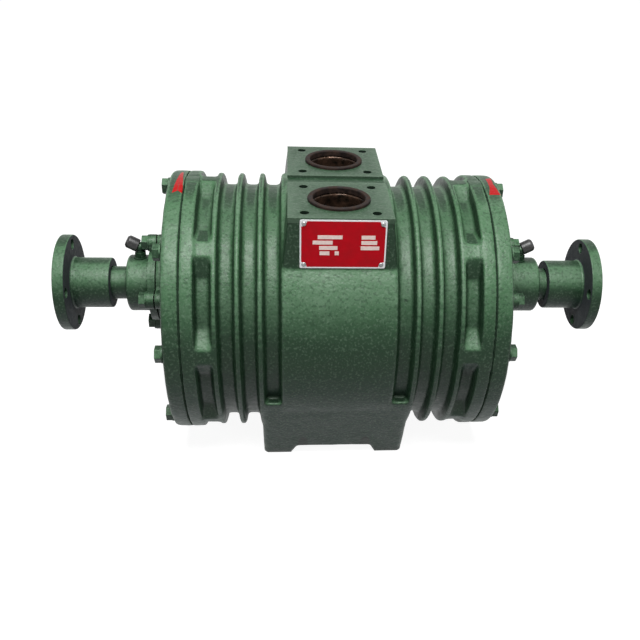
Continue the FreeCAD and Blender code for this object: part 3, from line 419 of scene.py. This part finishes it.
def casting_wear_and_shade(finish, color, colours, patches):
    """Soiling and painted shade in the corners of a casting, and enamel rubbed thin with a painted
    highlight on its ridges.
    """
    pointed = finish.add("ShaderNodeNewGeometry").outputs["Pointiness"]
    # Concave corners darker: soiling and painted shade.
    dirt_and_shade = finish.times(finish.remap(pointed, 0.49, 0.43, 0.0, 0.75),
                        finish.remap(patches, 0.25, 0.6, 0.4, 1.0))
    color = finish.mix(dirt_and_shade, color, colours.grime_and_shade)
    # Pale ridges: enamel rubbed thin, and a painted highlight.
    return finish.mix(finish.remap(pointed, 0.53, 0.60, 0.0, 0.4), color, colours.enamel_pale_and_highlight)


def oiled_inside(finish, color, roughness, colours):
    """Oil film in the ports and the chamber, and painted shade in the tapped holes."""
    near, height = port_distance(finish)
    in_port = finish.times(finish.calc("LESS_THAN", near, PORT_RADIUS),
                           finish.calc("GREATER_THAN", height, PORT_DEPTH_END))
    radius = finish.length(finish.split()[1], height)
    inside = finish.calc("MAXIMUM", in_port, finish.calc("LESS_THAN", radius, CHAMBER_RADIUS))
    streaks = finish.remap(finish.noise(0.008, detail=4.0), 0.35, 0.7)
    color = finish.mix(inside, color, finish.mix(streaks, colours.bore_oil, OIL_DREGS))
    color = finish.mix(tapped_holes(finish), color, HOLE_SHADE)
    roughness = finish.times(roughness, finish.remap(inside, 0.0, 1.0, 1.0, 0.55))
    return color, roughness, finish.times(inside, 0.6)


def enamel(name, colours, worn_and_shaded=True, oily_bore=False, mark=None, shaded_backs=False,
           steel_inside=False):
    """Thick hammered enamel over cast iron: orange peel, painted light and shade by the way faces
    turn, and soiling with painted shade in narrow corners.
    """
    finish = Finish(name)
    patches = finish.noise(0.017, detail=4.0, roughness=0.65)
    color = enamel_shades(finish, colours, patches)
    roughness = finish.remap(finish.noise(0.009, detail=2.0), 0.3, 0.7, 0.36, 0.48)
    metallic = 0.0
    if worn_and_shaded:
        color = casting_wear_and_shade(finish, color, colours, patches)
    # Painted shade: ambient occlusion darkens narrow corners, most on the castings.
    gap_shade = finish.times(finish.hidden(0.020), 0.80 if worn_and_shaded else 0.35)
    color = finish.mix(gap_shade, color, colours.grime_and_shade)
    # Painted shade: faces turned towards the pump take a dark grey in place of the green, with a
    # rougher gloss.
    if shaded_backs:
        inwards = finish.times(finish.facing()[0], finish.calc("SIGN", finish.split()[0]))
        back_shade = finish.remap(inwards, -0.75, -0.92)
        color = finish.mix(back_shade, color, FLANGE_BACK_SHADE)
        roughness = finish.plus(roughness, finish.times(back_shade, 0.32))
    if oily_bore:
        color, roughness, metallic = oiled_inside(finish, color, roughness, colours)
    if mark:
        painted = rim_mark(finish, mark)
        color = finish.mix(painted, color, colours.signal_red)
        metallic = finish.times(painted, 0.75)
    if steel_inside:
        metallic = finish.remap(finish.calc("ABSOLUTE", finish.split()[0]), *STEEL_STARTS)
        color = finish.mix(metallic, color, SHAFT_STEEL)
    normal = finish.bump(finish.cells(0.0034), 0.0005, 0.55)
    normal = finish.bump(finish.noise(0.0020, detail=1.0), 0.00030, 0.5, normal)
    normal = finish.bump(finish.noise(0.009, detail=2.0), 0.0006, 0.4, normal)
    finish.surface(color, roughness, metallic, normal, specular=0.22)


def rim_mark(finish, patches):
    """1 inside a hand-painted mark on a cover's rim, 0 elsewhere."""
    across, along, up = finish.split()
    height = finish.minus(up, CYLINDER_HEIGHT)
    sway = finish.minus(finish.noise(0.007, detail=2.0), 0.5)
    turn = finish.calc("ARCTAN2", along, height)
    round_rim = finish.plus(finish.times(turn, 1000.0 * RIM_RADIUS), sway)
    side = finish.plus(finish.times(across, 1000.0), sway)
    painted = 0.0
    for corners in patches:
        depth = None
        for (x0, y0), (x1, y1) in zip(corners, corners[1:] + corners[:1]):
            length = math.hypot(x1 - x0, y1 - y0)
            rise, run = (y1 - y0) / length, (x1 - x0) / length
            past = finish.plus(finish.times(side, rise), y0 * run - x0 * rise)
            past = finish.minus(past, finish.times(round_rim, run))
            depth = past if depth is None else finish.calc("MINIMUM", depth, past)
        painted = finish.calc("MAXIMUM", painted, finish.remap(depth, 0.0, 0.5))
    outside = finish.calc("GREATER_THAN", finish.length(along, height), RIM_INSIDE)
    return finish.times(painted, outside)


def turned_steel(name, color, roughness):
    """Machined steel: tool marks round the shaft's axis, and a thin uneven oil film."""
    finish = Finish(name)
    marks = finish.noise(0.0006, detail=2.0, place=finish.stretched((1.0, 0.06, 0.06)))
    film = finish.remap(finish.noise(0.02, detail=3.0), 0.4, 0.7)
    shade = finish.mix(finish.times(film, 0.6), color, tuple(0.55 * part for part in color))
    rough = finish.plus(finish.remap(marks, 0.3, 0.7, -0.06, 0.06), roughness)
    finish.surface(shade, rough, 1.0, finish.bump(marks, 0.00006, 0.5))


def mottled(name, size, detail, shades, rough, depth=0.0001, strength=0.5, metallic=0.0,
            specular=0.5, stretch=None, spread=None, relief_size=None):
    """A finish whose colour, roughness and relief follow one pattern; relief may have its own."""
    finish = Finish(name)
    place = finish.stretched(stretch) if stretch else None
    grain = finish.noise(size, detail=detail, place=place)
    share = finish.remap(grain, *spread) if spread else grain
    roughness = finish.remap(grain, 0.3, 0.7, *rough) if isinstance(rough, tuple) else rough
    relief = finish.noise(relief_size) if relief_size else grain
    finish.surface(finish.mix(share, *shades), roughness, metallic,
                   finish.bump(relief, depth, strength), specular)


def rotor_iron(colours):
    """Dark iron of the rotor under patches of oil."""
    finish = Finish("rotor_iron")
    grain = finish.noise(0.0025, detail=4.0)
    film = finish.remap(finish.noise(0.015, detail=3.0), 0.4, 0.65)
    finish.surface(finish.mix(film, colours.bore_oil, (0.13, 0.10, 0.08)),
                   finish.remap(grain, 0.3, 0.7, 0.22, 0.42), 0.7,
                   finish.bump(grain, 0.0001, 0.5))


def plain_finishes(colours):
    """The finishes of rubber, plastic, gaskets, resin, brass, steel, rivets and the plate."""
    mottled("oily_rubber", 0.006, 3.0, ((0.006, 0.004, 0.0035), (0.024, 0.014, 0.010)),
            (0.5, 0.8), depth=0.0002, specular=0.12, spread=(0.35, 0.7), relief_size=0.0015)
    mottled("black_plastic", 0.003, 4.0, ((0.006, 0.006, 0.006), (0.03, 0.03, 0.028)),
            (0.3, 0.5), strength=0.4, spread=(0.55, 0.75))
    mottled("gasket_sheet", 0.0012, 3.0, ((0.003, 0.003, 0.003), (0.008, 0.008, 0.007)),
            0.9, specular=0.1)
    mottled("painted_gasket", 0.0012, 3.0, ((0.006, 0.016, 0.009), (0.016, 0.034, 0.019)),
            0.8, specular=0.1)
    mottled("vane_resin", 0.0012, 3.0, ((0.10, 0.055, 0.025), (0.20, 0.12, 0.06)),
            (0.35, 0.55), stretch=(0.15, 1.0, 1.0))
    mottled("cage_brass", 0.0008, 2.0, ((0.56, 0.36, 0.13), (0.70, 0.50, 0.22)),
            (0.22, 0.36), depth=0.00005, metallic=1.0, stretch=(1.0, 0.1, 0.1))
    mottled("rivet_metal", 0.002, 3.0, ((0.10, 0.10, 0.10), (0.34, 0.34, 0.34)),
            (0.3, 0.5), depth=0.00008, metallic=1.0)
    dull_metal = tuple(0.8 * part for part in colours.bare_metal)
    mottled("plate_bare", 0.0006, 2.0, (dull_metal, colours.bare_metal),
            (0.34, 0.5), depth=0.00004, metallic=0.55, stretch=(0.08, 1.0, 1.0))
    mottled("plate_fields", 0.004, 3.0, ((0.50, 0.36, 0.33), (0.72, 0.62, 0.58)),
            0.55, depth=0.00005, specular=0.2)
    deep_red = tuple(0.80 * part for part in colours.plate_red)
    mottled("plate_red", 0.012, 3.0, (deep_red, colours.plate_red), (0.3, 0.45),
            depth=0.00005, specular=0.12, spread=(0.35, 0.7), relief_size=0.0008)
    turned_steel("ground_steel", (0.52, 0.52, 0.53), 0.20)
    turned_steel("machined_steel", (0.40, 0.40, 0.40), 0.32)
    rotor_iron(colours)


def keep_side(shape, height, above):
    """Cut a closed bmesh at a height and close the cut; the side above or below it stays."""
    geometry = shape.verts[:] + shape.edges[:] + shape.faces[:]
    cut = bmesh.ops.bisect_plane(shape, geom=geometry, plane_co=(0, 0, height), plane_no=(0, 0, 1),
                                 clear_outer=not above, clear_inner=above)
    rim = [item for item in cut["geom_cut"] if isinstance(item, bmesh.types.BMEdge)]
    bmesh.ops.triangle_fill(shape, edges=rim, use_beauty=True, normal=(0, 0, -1 if above else 1))
    return shape


def shown(mesh, name, body, slot, material, *nodes, smooth=True):
    """Show a finished mesh as a piece that rides on a body and stands for the nodes it replaces."""
    piece = bpy.data.objects.new(name, mesh)
    bpy.context.scene.collection.objects.link(piece)
    mesh.materials.clear()
    mesh.materials.append(Finish.made[material])
    if smooth:
        mesh.shade_smooth()
    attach(piece, body)
    if nodes:
        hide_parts(*nodes)
    return piece


def bevelled(shape, name, body, slot, material, *nodes):
    """Show a shape whose flat faces stay flat between its broken edges."""
    piece = shown(mesh_of(shape, name), name, body, slot, material, *nodes)
    even = piece.modifiers.new("even_shading", "WEIGHTED_NORMAL")
    even.keep_sharp = False


def merged_copy(node):
    """A CAD node's triangles as one closed bmesh, with its doubles merged."""
    shape = bmesh.new()
    shape.from_mesh(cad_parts[node].data)
    bmesh.ops.remove_doubles(shape, verts=shape.verts, dist=1e-6)
    return shape


def mesh_of(shape, name):
    mesh = bpy.data.meshes.new(name)
    shape.to_mesh(mesh)
    shape.free()
    return mesh


def unique(items):
    """Each item once, in the order in which it first comes."""
    return list(dict.fromkeys(items))


def scale_about(shape, place, factor):
    there = Matrix.Translation(place)
    bmesh.ops.transform(shape, matrix=there @ Matrix.Scale(factor, 4) @ there.inverted(),
                        verts=shape.verts)


def cast_piece(node, name, sizes, material, limit, top=None):
    """A casting up to its top: rebuilt on a fine grid and smoothed, so that edges round and
    corners fill, with a gently uneven skin and a milled foot."""
    shape = merged_copy(node)
    if top is not None:
        keep_side(shape, top, above=False)
    mesh = mesh_of(shape, name + "_rough")
    rough = bpy.data.objects.new(name + "_rough", mesh)
    bpy.context.scene.collection.objects.link(rough)
    grid = rough.modifiers.new("grid", "REMESH")
    grid.mode = "VOXEL"
    grid.voxel_size = sizes.voxel
    rounding = rough.modifiers.new("rounding", "SMOOTH")
    rounding.factor = 0.5
    rounding.iterations = sizes.smoothing
    skin = bpy.data.textures.get("mould_skin") or bpy.data.textures.new("mould_skin", "CLOUDS")
    skin.noise_scale = sizes.waviness
    skin.noise_depth = 2
    waves = rough.modifiers.new("waves", "DISPLACE")
    waves.texture = skin
    waves.texture_coords = "LOCAL"
    waves.strength = sizes.unevenness
    waves.mid_level = 0.55
    graph = bpy.context.evaluated_depsgraph_get()
    count = sum(len(face.vertices) - 2 for face in rough.evaluated_get(graph).to_mesh().polygons)
    rough.evaluated_get(graph).to_mesh_clear()
    if count > limit:
        fewer = rough.modifiers.new("fewer", "DECIMATE")
        fewer.ratio = limit / count
    graph = bpy.context.evaluated_depsgraph_get()
    cast = bpy.data.meshes.new_from_object(rough.evaluated_get(graph))
    cast.name = name
    bpy.data.objects.remove(rough)
    for point in cast.vertices:
        if point.co.z < MILLED_FOOT:
            point.co.z = 0.0
    shown(cast, name, "pump", "green_enamel", material, node)


def broken_edges(shape, edge, segments=2):
    """Join the flat faces of a triangle mesh and bevel the edges between them."""
    bmesh.ops.dissolve_limit(shape, angle_limit=math.radians(FLAT_ANGLE), verts=shape.verts,
                             edges=shape.edges)
    keen = [e for e in shape.edges if len(e.link_faces) == 2
            and e.calc_face_angle(0.0) > math.radians(SHARP_ANGLE)]
    bmesh.ops.bevel(shape, geom=keen, offset=edge, offset_type="OFFSET", affect="EDGES",
                    segments=segments, profile=0.5, material=-1, clamp_overlap=True)
    return shape


def machined_piece(node, name, edge, body, slot, material, segments=2):
    """A turned, milled or moulded piece: the CAD shape with its sharp edges broken."""
    bevelled(broken_edges(merged_copy(node), edge, segments), name, body, slot, material, node)


def repaint(node, material):
    """Give a CAD node that stays its finish."""
    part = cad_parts[node]
    part.data.materials.clear()
    part.data.materials.append(Finish.made[material])


class PUMP_OT_finishes(bpy.types.Operator):
    """Make every paint, metal, rubber and resin that the pump shows"""
    bl_idname = "pump.finishes"
    bl_label = "Finishes"

    def execute(self, context):
        colours = context.scene.pump_finishes
        enamel("casting_enamel", colours, oily_bore=True)
        enamel("left_cover_enamel", colours, mark=LEFT_MARK)
        enamel("right_cover_enamel", colours, mark=RIGHT_MARK)
        enamel("small_part_enamel", colours, worn_and_shaded=False)
        enamel("flange_enamel", colours, worn_and_shaded=False, shaded_backs=True)
        enamel("shaft_finish", colours, worn_and_shaded=False, steel_inside=True)
        plain_finishes(colours)
        return {"FINISHED"}


class PUMP_OT_casting(bpy.types.Operator):
    """Rebuild the finned cylinder casting with rounded fins, filled corners and a sand-cast skin"""
    bl_idname = "pump.casting"
    bl_label = "Cylinder casting"

    def execute(self, context):
        castings = context.scene.pump_castings
        cast_piece("pump_body", "cylinder_casting", castings, "casting_enamel", CASTING_LIMIT,
                   top=PAD_CUT)
        pads = keep_side(merged_copy("pump_body"), PAD_CUT, above=True)
        feet = [v for v in pads.verts if v.co.z < PAD_CUT_RIM]
        bmesh.ops.translate(pads, verts=feet, vec=(0, 0, -castings.pad_sink))
        broken_edges(pads, castings.machined_edge)
        bevelled(pads, "port_pads", "pump", "green_enamel", "casting_enamel")
        return {"FINISHED"}


class PUMP_OT_covers(bpy.types.Operator):
    """Rebuild both end covers as castings and colour the gaskets of covers and caps"""
    bl_idname = "pump.covers"
    bl_label = "End covers"

    def execute(self, context):
        castings = context.scene.pump_castings
        for side in SIDES:
            cast_piece(f"{side}_end_cover", f"{side}_cover_casting", castings,
                       f"{side}_cover_enamel", COVER_LIMIT)
            repaint(f"{side}_cover_gasket", "painted_gasket")
            repaint(f"{side}_cap_gasket", "gasket_sheet")
        return {"FINISHED"}


class PUMP_OT_bearing_caps(bpy.types.Operator):
    """Break the edges of the bearing caps, lengthen the right snout and paint both"""
    bl_idname = "pump.bearing_caps"
    bl_label = "Bearing caps"

    def execute(self, context):
        castings = context.scene.pump_castings
        for side in SIDES:
            cap = broken_edges(merged_copy(f"{side}_bearing_cap"), castings.machined_edge)
            if side == "right":
                end = max(v.co.x for v in cap.verts) - SNOUT_ROUNDING
                lip = [v for v in cap.verts if v.co.x > end]
                bmesh.ops.translate(cap, verts=lip, vec=(castings.snout_reach, 0, 0))
            bevelled(cap, f"{side}_cap_casting", "pump", "green_enamel", "small_part_enamel",
                     f"{side}_bearing_cap")
        return {"FINISHED"}


def raise_heads(bolts, way, thickness):
    """Put a spring washer under each head of a bolt circle; the heads move out by it."""
    face = max(way * v.co.x for v in bolts.verts)
    tops = [v for v in bolts.verts if way * v.co.x > face - HEAD_HEIGHT / 2]
    heads = []
    for top in tops:
        near = [places for places in heads
                if math.hypot(*(top.co - places[0]).yz) < HEAD_SPREAD]
        if near:
            near[0].append(top.co.copy())
        else:
            heads.append([top.co.copy()])
    bmesh.ops.translate(bolts, verts=tops, vec=(way * thickness, 0, 0))
    for places in heads:
        mean = sum(places, Vector()) / len(places)
        middle = Vector((way * (face - HEAD_HEIGHT + thickness / 2), mean.y, mean.z))
        turned = Matrix.Translation(middle) @ Matrix.Rotation(math.radians(90), 4, "Y")
        ring = bmesh.ops.create_cone(bolts, cap_ends=True, segments=32, radius1=WASHER_RADIUS,
                                     radius2=WASHER_RADIUS, depth=thickness, matrix=turned)
        rims = unique(e for v in ring["verts"] for e in v.link_edges
                      if abs(e.verts[0].co.x - e.verts[1].co.x) < 1e-6)
        bmesh.ops.bevel(bolts, geom=rims, offset=thickness / 4, offset_type="OFFSET",
                        affect="EDGES", segments=2, profile=0.5, material=-1)


class PUMP_OT_bolts(bpy.types.Operator):
    """Give the hexagon bolts of covers, caps and shaft ends their rounded heads"""
    bl_idname = "pump.bolts"
    bl_label = "Hexagon bolts"

    def execute(self, context):
        castings = context.scene.pump_castings
        for side in SIDES:
            for group in (f"{side}_cover_bolts", f"{side}_cap_bolts"):
                bolts = broken_edges(merged_copy(group), castings.bolt_edge)
                raise_heads(bolts, RIGHT_WAY[side], castings.washer)
                bevelled(bolts, f"{group}_painted", "pump", "painted_bolt", "small_part_enamel",
                         group)
            machined_piece(f"{side}_end_bolt", f"{side}_end_bolt_head", castings.bolt_edge,
                           "rotor", "machined_steel", "machined_steel")
        return {"FINISHED"}


class PUMP_OT_companion_flanges(bpy.types.Operator):
    """Break the edges of the companion flanges and finish their washers"""
    bl_idname = "pump.companion_flanges"
    bl_label = "Companion flanges"

    def execute(self, context):
        castings = context.scene.pump_castings
        for side in SIDES:
            machined_piece(f"{side}_companion_flange", f"{side}_flange_painted",
                           castings.machined_edge, "rotor", "green_enamel", "flange_enamel")
            repaint(f"{side}_end_washer", "machined_steel")
        return {"FINISHED"}


class PUMP_OT_lubricators(bpy.types.Operator):
    """Finish the screwed-in elbows and their black dust caps"""
    bl_idname = "pump.lubricators"
    bl_label = "Lubricators"

    def execute(self, context):
        for side in SIDES:
            elbow = broken_edges(merged_copy(f"{side}_oil_fitting"), ELBOW_EDGE)
            low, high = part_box(f"{side}_oil_fitting")
            middle = (low + high) / 2
            scale_about(elbow, (middle.x, middle.y, SNOUT_TOP), ELBOW_SCALE)
            bevelled(elbow, f"{side}_elbow", "pump", "fitting_green", "small_part_enamel",
                     f"{side}_oil_fitting")
            cap = broken_edges(merged_copy(f"{side}_fitting_cap"), DUST_CAP_EDGE)
            low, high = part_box(f"{side}_fitting_cap")
            scale_about(cap, (low + high) / 2, DUST_CAP_SCALE)
            nearer = (-RIGHT_WAY[side] * DUST_CAP_INWARDS, 0, DUST_CAP_UPWARDS)
            bmesh.ops.translate(cap, verts=cap.verts, vec=nearer)
            bevelled(cap, f"{side}_dust_cap", "pump", "black_cap", "black_plastic",
                     f"{side}_fitting_cap")
        return {"FINISHED"}


class PUMP_OT_port_rings(bpy.types.Operator):
    """Round the rubber rings that stand proud of the ports"""
    bl_idname = "pump.port_rings"
    bl_label = "Port seal rings"

    def execute(self, context):
        for place in ("front", "rear"):
            machined_piece(f"{place}_port_seal_ring", f"{place}_port_rubber", RING_EDGE, "pump",
                           "seal_rubber", "oily_rubber", segments=3)
        return {"FINISHED"}


class PUMP_OT_plate(bpy.types.Operator):
    """Build the red plate with its bare border, corner pads, blank fields and rivets"""
    bl_idname = "pump.plate"
    bl_label = "Plate"

    def execute(self, context):
        plate = context.scene.pump_plate
        low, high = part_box("nameplate")
        width, height = high.x - low.x, high.z - low.z
        middle = Vector(((low.x + high.x) / 2, low.y, (low.z + high.z) / 2))
        machined_piece("nameplate", "plate_ground", PLATE_EDGE, "pump", "nameplate_red",
                       "plate_bare")
        ground = bmesh.new()
        add_slab(ground, middle, (width - 2 * plate.border, height - 2 * plate.border),
                 plate.relief * 0.4, PLATE_CORNER)
        fields = bmesh.new()
        for up, spans in PLATE_ROWS:
            for start, end in spans:
                add_slab(fields, middle + Vector(((start + end) / 2, 0, up)),
                         (end - start, plate.field_height), plate.relief, PLATE_EDGE)
        pads = bmesh.new()
        for across in (-1, 1):
            for up in (-1, 1):
                add_corner_pad(pads, middle, across, up, width, height, plate)
        for shape, name, material in ((ground, "plate_field", "plate_red"),
                                      (fields, "plate_blank_fields", "plate_fields"),
                                      (pads, "plate_corner_pads", "plate_bare")):
            shown(mesh_of(shape, name), name, "pump", "nameplate_red", material, smooth=False)
        machined_piece("nameplate_rivets", "plate_rivets", RIVET_EDGE, "pump", "rivet_metal",
                       "rivet_metal", segments=3)
        return {"FINISHED"}


def add_slab(shape, middle, size, thickness, corner):
    """Add a thin slab with rounded corners, standing on the plate's face."""
    made = bmesh.ops.create_cube(shape, size=1.0)["verts"]
    bmesh.ops.scale(shape, vec=(size[0], thickness, size[1]), verts=made)
    upright = [e for e in shape.edges if all(v in made for v in e.verts)
               and abs(e.verts[0].co.y - e.verts[1].co.y) > thickness / 2]
    rounded = bmesh.ops.bevel(shape, geom=upright, offset=corner, offset_type="OFFSET",
                              affect="EDGES", segments=3, profile=0.5, material=-1)
    corners = [v for face in rounded["faces"] for v in face.verts]
    moved = unique(corners + [v for v in made if v.is_valid])
    bmesh.ops.translate(shape, verts=moved, vec=middle - Vector((0, thickness / 2, 0)))


def add_corner_pad(shape, middle, across, up, width, height, plate):
    """Add a quarter-round pad under one rivet, from the plate's corner inwards."""
    corner = middle + Vector((across * (width / 2 - plate.border / 2), 0,
                              up * (height / 2 - plate.border / 2)))
    made = bmesh.ops.create_circle(shape, cap_ends=True, segments=48,
                                   radius=plate.corner_pad)["verts"]
    bmesh.ops.transform(shape, matrix=Matrix.Rotation(math.radians(90), 4, "X"), verts=made)
    faces = unique(f for v in made for f in v.link_faces)
    geometry = made + faces + unique(e for v in made for e in v.link_edges)
    for normal in (Vector((across, 0, 0)), Vector((0, 0, up))):
        kept = [item for item in geometry if item.is_valid]
        geometry = bmesh.ops.bisect_plane(shape, geom=kept, plane_co=(0, 0, 0), plane_no=normal,
                                          clear_outer=True)["geom"]
    faces = [g for g in geometry if isinstance(g, bmesh.types.BMFace) and g.is_valid]
    extruded = bmesh.ops.extrude_face_region(shape, geom=faces)["geom"]
    lifted = [g for g in extruded if isinstance(g, bmesh.types.BMVert)]
    bmesh.ops.translate(shape, verts=lifted, vec=(0, -plate.relief, 0))
    below = [v for f in faces if f.is_valid for v in f.verts]
    bmesh.ops.translate(shape, verts=unique(below + lifted), vec=corner)
    bmesh.ops.recalc_face_normals(shape, faces=shape.faces)


class PUMP_OT_inner_parts(bpy.types.Operator):
    """Give the shaft, rotor, vanes, bearings, seals, keys and dowels their finishes"""
    bl_idname = "pump.inner_parts"
    bl_label = "Inner parts"

    def execute(self, context):
        repaint("shaft", "shaft_finish")
        repaint("rotor_drum", "rotor_iron")
        repaint("rotor_key", "machined_steel")
        for number in range(1, VANE_COUNT + 1):
            repaint(f"vane_{number}", "vane_resin")
        for side in SIDES:
            for part, material in (("bearing_outer_ring", "ground_steel"),
                                   ("bearing_inner_ring", "ground_steel"),
                                   ("rollers", "ground_steel"), ("roller_cage", "cage_brass"),
                                   ("oil_seal", "oily_rubber"), ("chamber_seal", "oily_rubber"),
                                   ("hub_key", "machined_steel"),
                                   ("cover_dowels", "ground_steel")):
                repaint(f"{side}_{part}", material)
        return {"FINISHED"}


class PUMP_OT_stage(bpy.types.Operator):
    """Set the pale floor, the soft lamps and the camera at the photograph's angle"""
    bl_idname = "pump.stage"
    bl_label = "Stage"

    def execute(self, context):
        stage = context.scene.pump_stage
        make_floor()
        make_room(stage.room_light)
        for name, place, size, power in LAMPS:
            make_lamp(name, place, size, getattr(stage, power))
        make_camera(stage.focal_length)
        context.scene.view_settings.view_transform = "Standard"
        return {"FINISHED"}


def seen_directly(tree):
    """1 for the camera and in reflections, 0 for all other light."""
    path = tree.nodes.new("ShaderNodeLightPath")
    ray = path.outputs["Is Camera Ray"]
    for other in ("Is Glossy Ray", "Is Transmission Ray"):
        either = tree.nodes.new("ShaderNodeMath")
        either.operation = "MAXIMUM"
        tree.links.new(ray, either.inputs[0])
        tree.links.new(path.outputs[other], either.inputs[1])
        ray = either.outputs[0]
    return ray


def choose_seen(tree, lighting, seen, output):
    """Use one shader for light on the pump, and the other where a ray sees it directly."""
    choose = tree.nodes.new("ShaderNodeMixShader")
    tree.links.new(seen_directly(tree), choose.inputs[0])
    tree.links.new(lighting.outputs[0], choose.inputs[1])
    tree.links.new(seen.outputs[0], choose.inputs[2])
    tree.links.new(choose.outputs[0], output.inputs["Surface"])


def make_floor():
    shape = bmesh.new()
    bmesh.ops.create_circle(shape, cap_ends=True, segments=96, radius=FLOOR_RADIUS)
    bmesh.ops.translate(shape, verts=shape.verts, vec=(0, 0, -FLOOR_GAP))
    floor = bpy.data.objects.new("floor", mesh_of(shape, "floor"))
    bpy.context.scene.collection.objects.link(floor)
    paper = bpy.data.materials.new("white_paper")
    paper.use_nodes = True
    tree = paper.node_tree
    tree.nodes.clear()
    output = tree.nodes.new("ShaderNodeOutputMaterial")
    matte = tree.nodes.new("ShaderNodeBsdfDiffuse")
    matte.inputs["Color"].default_value = PAPER_GREY
    place = tree.nodes.new("ShaderNodeTexCoord")
    away = tree.nodes.new("ShaderNodeVectorMath")
    away.operation = "LENGTH"
    tree.links.new(place.outputs["Object"], away.inputs[0])
    whiter = tree.nodes.new("ShaderNodeMapRange")
    for socket, number in zip(whiter.inputs[1:5], GLOW_DISTANCES + GLOW_STRENGTHS):
        socket.default_value = number
    tree.links.new(away.outputs["Value"], whiter.inputs[0])
    glow = tree.nodes.new("ShaderNodeEmission")
    tree.links.new(whiter.outputs[0], glow.inputs["Strength"])
    both = tree.nodes.new("ShaderNodeAddShader")
    tree.links.new(matte.outputs[0], both.inputs[0])
    tree.links.new(glow.outputs[0], both.inputs[1])
    choose_seen(tree, matte, both, output)
    floor.data.materials.append(paper)


def make_room(strength):
    world = bpy.data.worlds.new("studio")
    bpy.context.scene.world = world
    world.use_nodes = True
    tree = world.node_tree
    tree.nodes.clear()
    output = tree.nodes.new("ShaderNodeOutputWorld")
    light = tree.nodes.new("ShaderNodeBackground")
    light.inputs["Color"].default_value = ROOM_COLOUR
    light.inputs["Strength"].default_value = strength
    white = tree.nodes.new("ShaderNodeBackground")
    white.inputs["Color"].default_value = WHITE
    choose_seen(tree, light, white, output)


def make_lamp(name, place, size, power):
    lamp = bpy.data.lights.new(name, "AREA")
    lamp.shape = "RECTANGLE"
    lamp.size, lamp.size_y = size
    lamp.energy = power
    stand = bpy.data.objects.new(name, lamp)
    bpy.context.scene.collection.objects.link(stand)
    aim = Vector(LAMP_TARGET) - Vector(place)
    stand.location = place
    stand.rotation_euler = aim.to_track_quat("-Z", "Y").to_euler()


def make_camera(focal_length):
    """The camera that was fitted to the photograph: its place, turn, lens and picture shift."""
    ahead = Vector((math.sin(CAMERA_YAW), math.cos(CAMERA_YAW), 0.0)) * math.cos(CAMERA_PITCH)
    look = ahead - Vector((0.0, 0.0, math.sin(CAMERA_PITCH)))
    level = Vector((math.cos(CAMERA_YAW), -math.sin(CAMERA_YAW), 0.0))
    upright = level.cross(look)
    right = math.cos(CAMERA_ROLL) * level + math.sin(CAMERA_ROLL) * upright
    up = math.cos(CAMERA_ROLL) * upright - math.sin(CAMERA_ROLL) * level
    camera = bpy.data.cameras.new("camera")
    camera.sensor_width = CAMERA_SENSOR
    camera.lens = focal_length
    camera.shift_x, camera.shift_y = CAMERA_SHIFT
    stand = bpy.data.objects.new("camera", camera)
    bpy.context.scene.collection.objects.link(stand)
    turn = Matrix((right, up, -look)).transposed().to_4x4()
    stand.matrix_world = Matrix.Translation(CAMERA_PLACE) @ turn
    bpy.context.scene.camera = stand


class PUMP_PT_panel(bpy.types.Panel):
    """Everything the pump is made of, in the order it is made"""
    bl_idname = "PUMP_PT_panel"
    bl_label = "Sliding-vane vacuum pump"
    bl_space_type = "VIEW_3D"
    bl_region_type = "UI"
    bl_category = "Vane pump"

    def draw(self, context):
        for name, kind in GROUPS.items():
            box = self.layout.box()
            for item in kind.__annotations__:
                box.prop(getattr(context.scene, name), item)
        for step in STEPS:
            self.layout.operator(step.bl_idname)


STEPS = (PUMP_OT_finishes, PUMP_OT_casting, PUMP_OT_covers, PUMP_OT_bearing_caps, PUMP_OT_bolts,
         PUMP_OT_companion_flanges, PUMP_OT_lubricators, PUMP_OT_port_rings, PUMP_OT_plate,
         PUMP_OT_inner_parts, PUMP_OT_stage)
GROUPS = {"pump_castings": CastingSettings, "pump_finishes": FinishSettings,
          "pump_plate": PlateSettings, "pump_stage": StageSettings}


def register():
    for kind in (*GROUPS.values(), *STEPS, PUMP_PT_panel):
        bpy.utils.register_class(kind)
    for name, kind in GROUPS.items():
        setattr(bpy.types.Scene, name, bpy.props.PointerProperty(type=kind))


def unregister():
    for name in GROUPS:
        delattr(bpy.types.Scene, name)
    for kind in reversed((*GROUPS.values(), *STEPS, PUMP_PT_panel)):
        bpy.utils.unregister_class(kind)


def main():
    register()
    for step in STEPS:
        group, name = step.bl_idname.split(".")
        getattr(getattr(bpy.ops, group), name)()


if __name__ == "__main__":
    main()
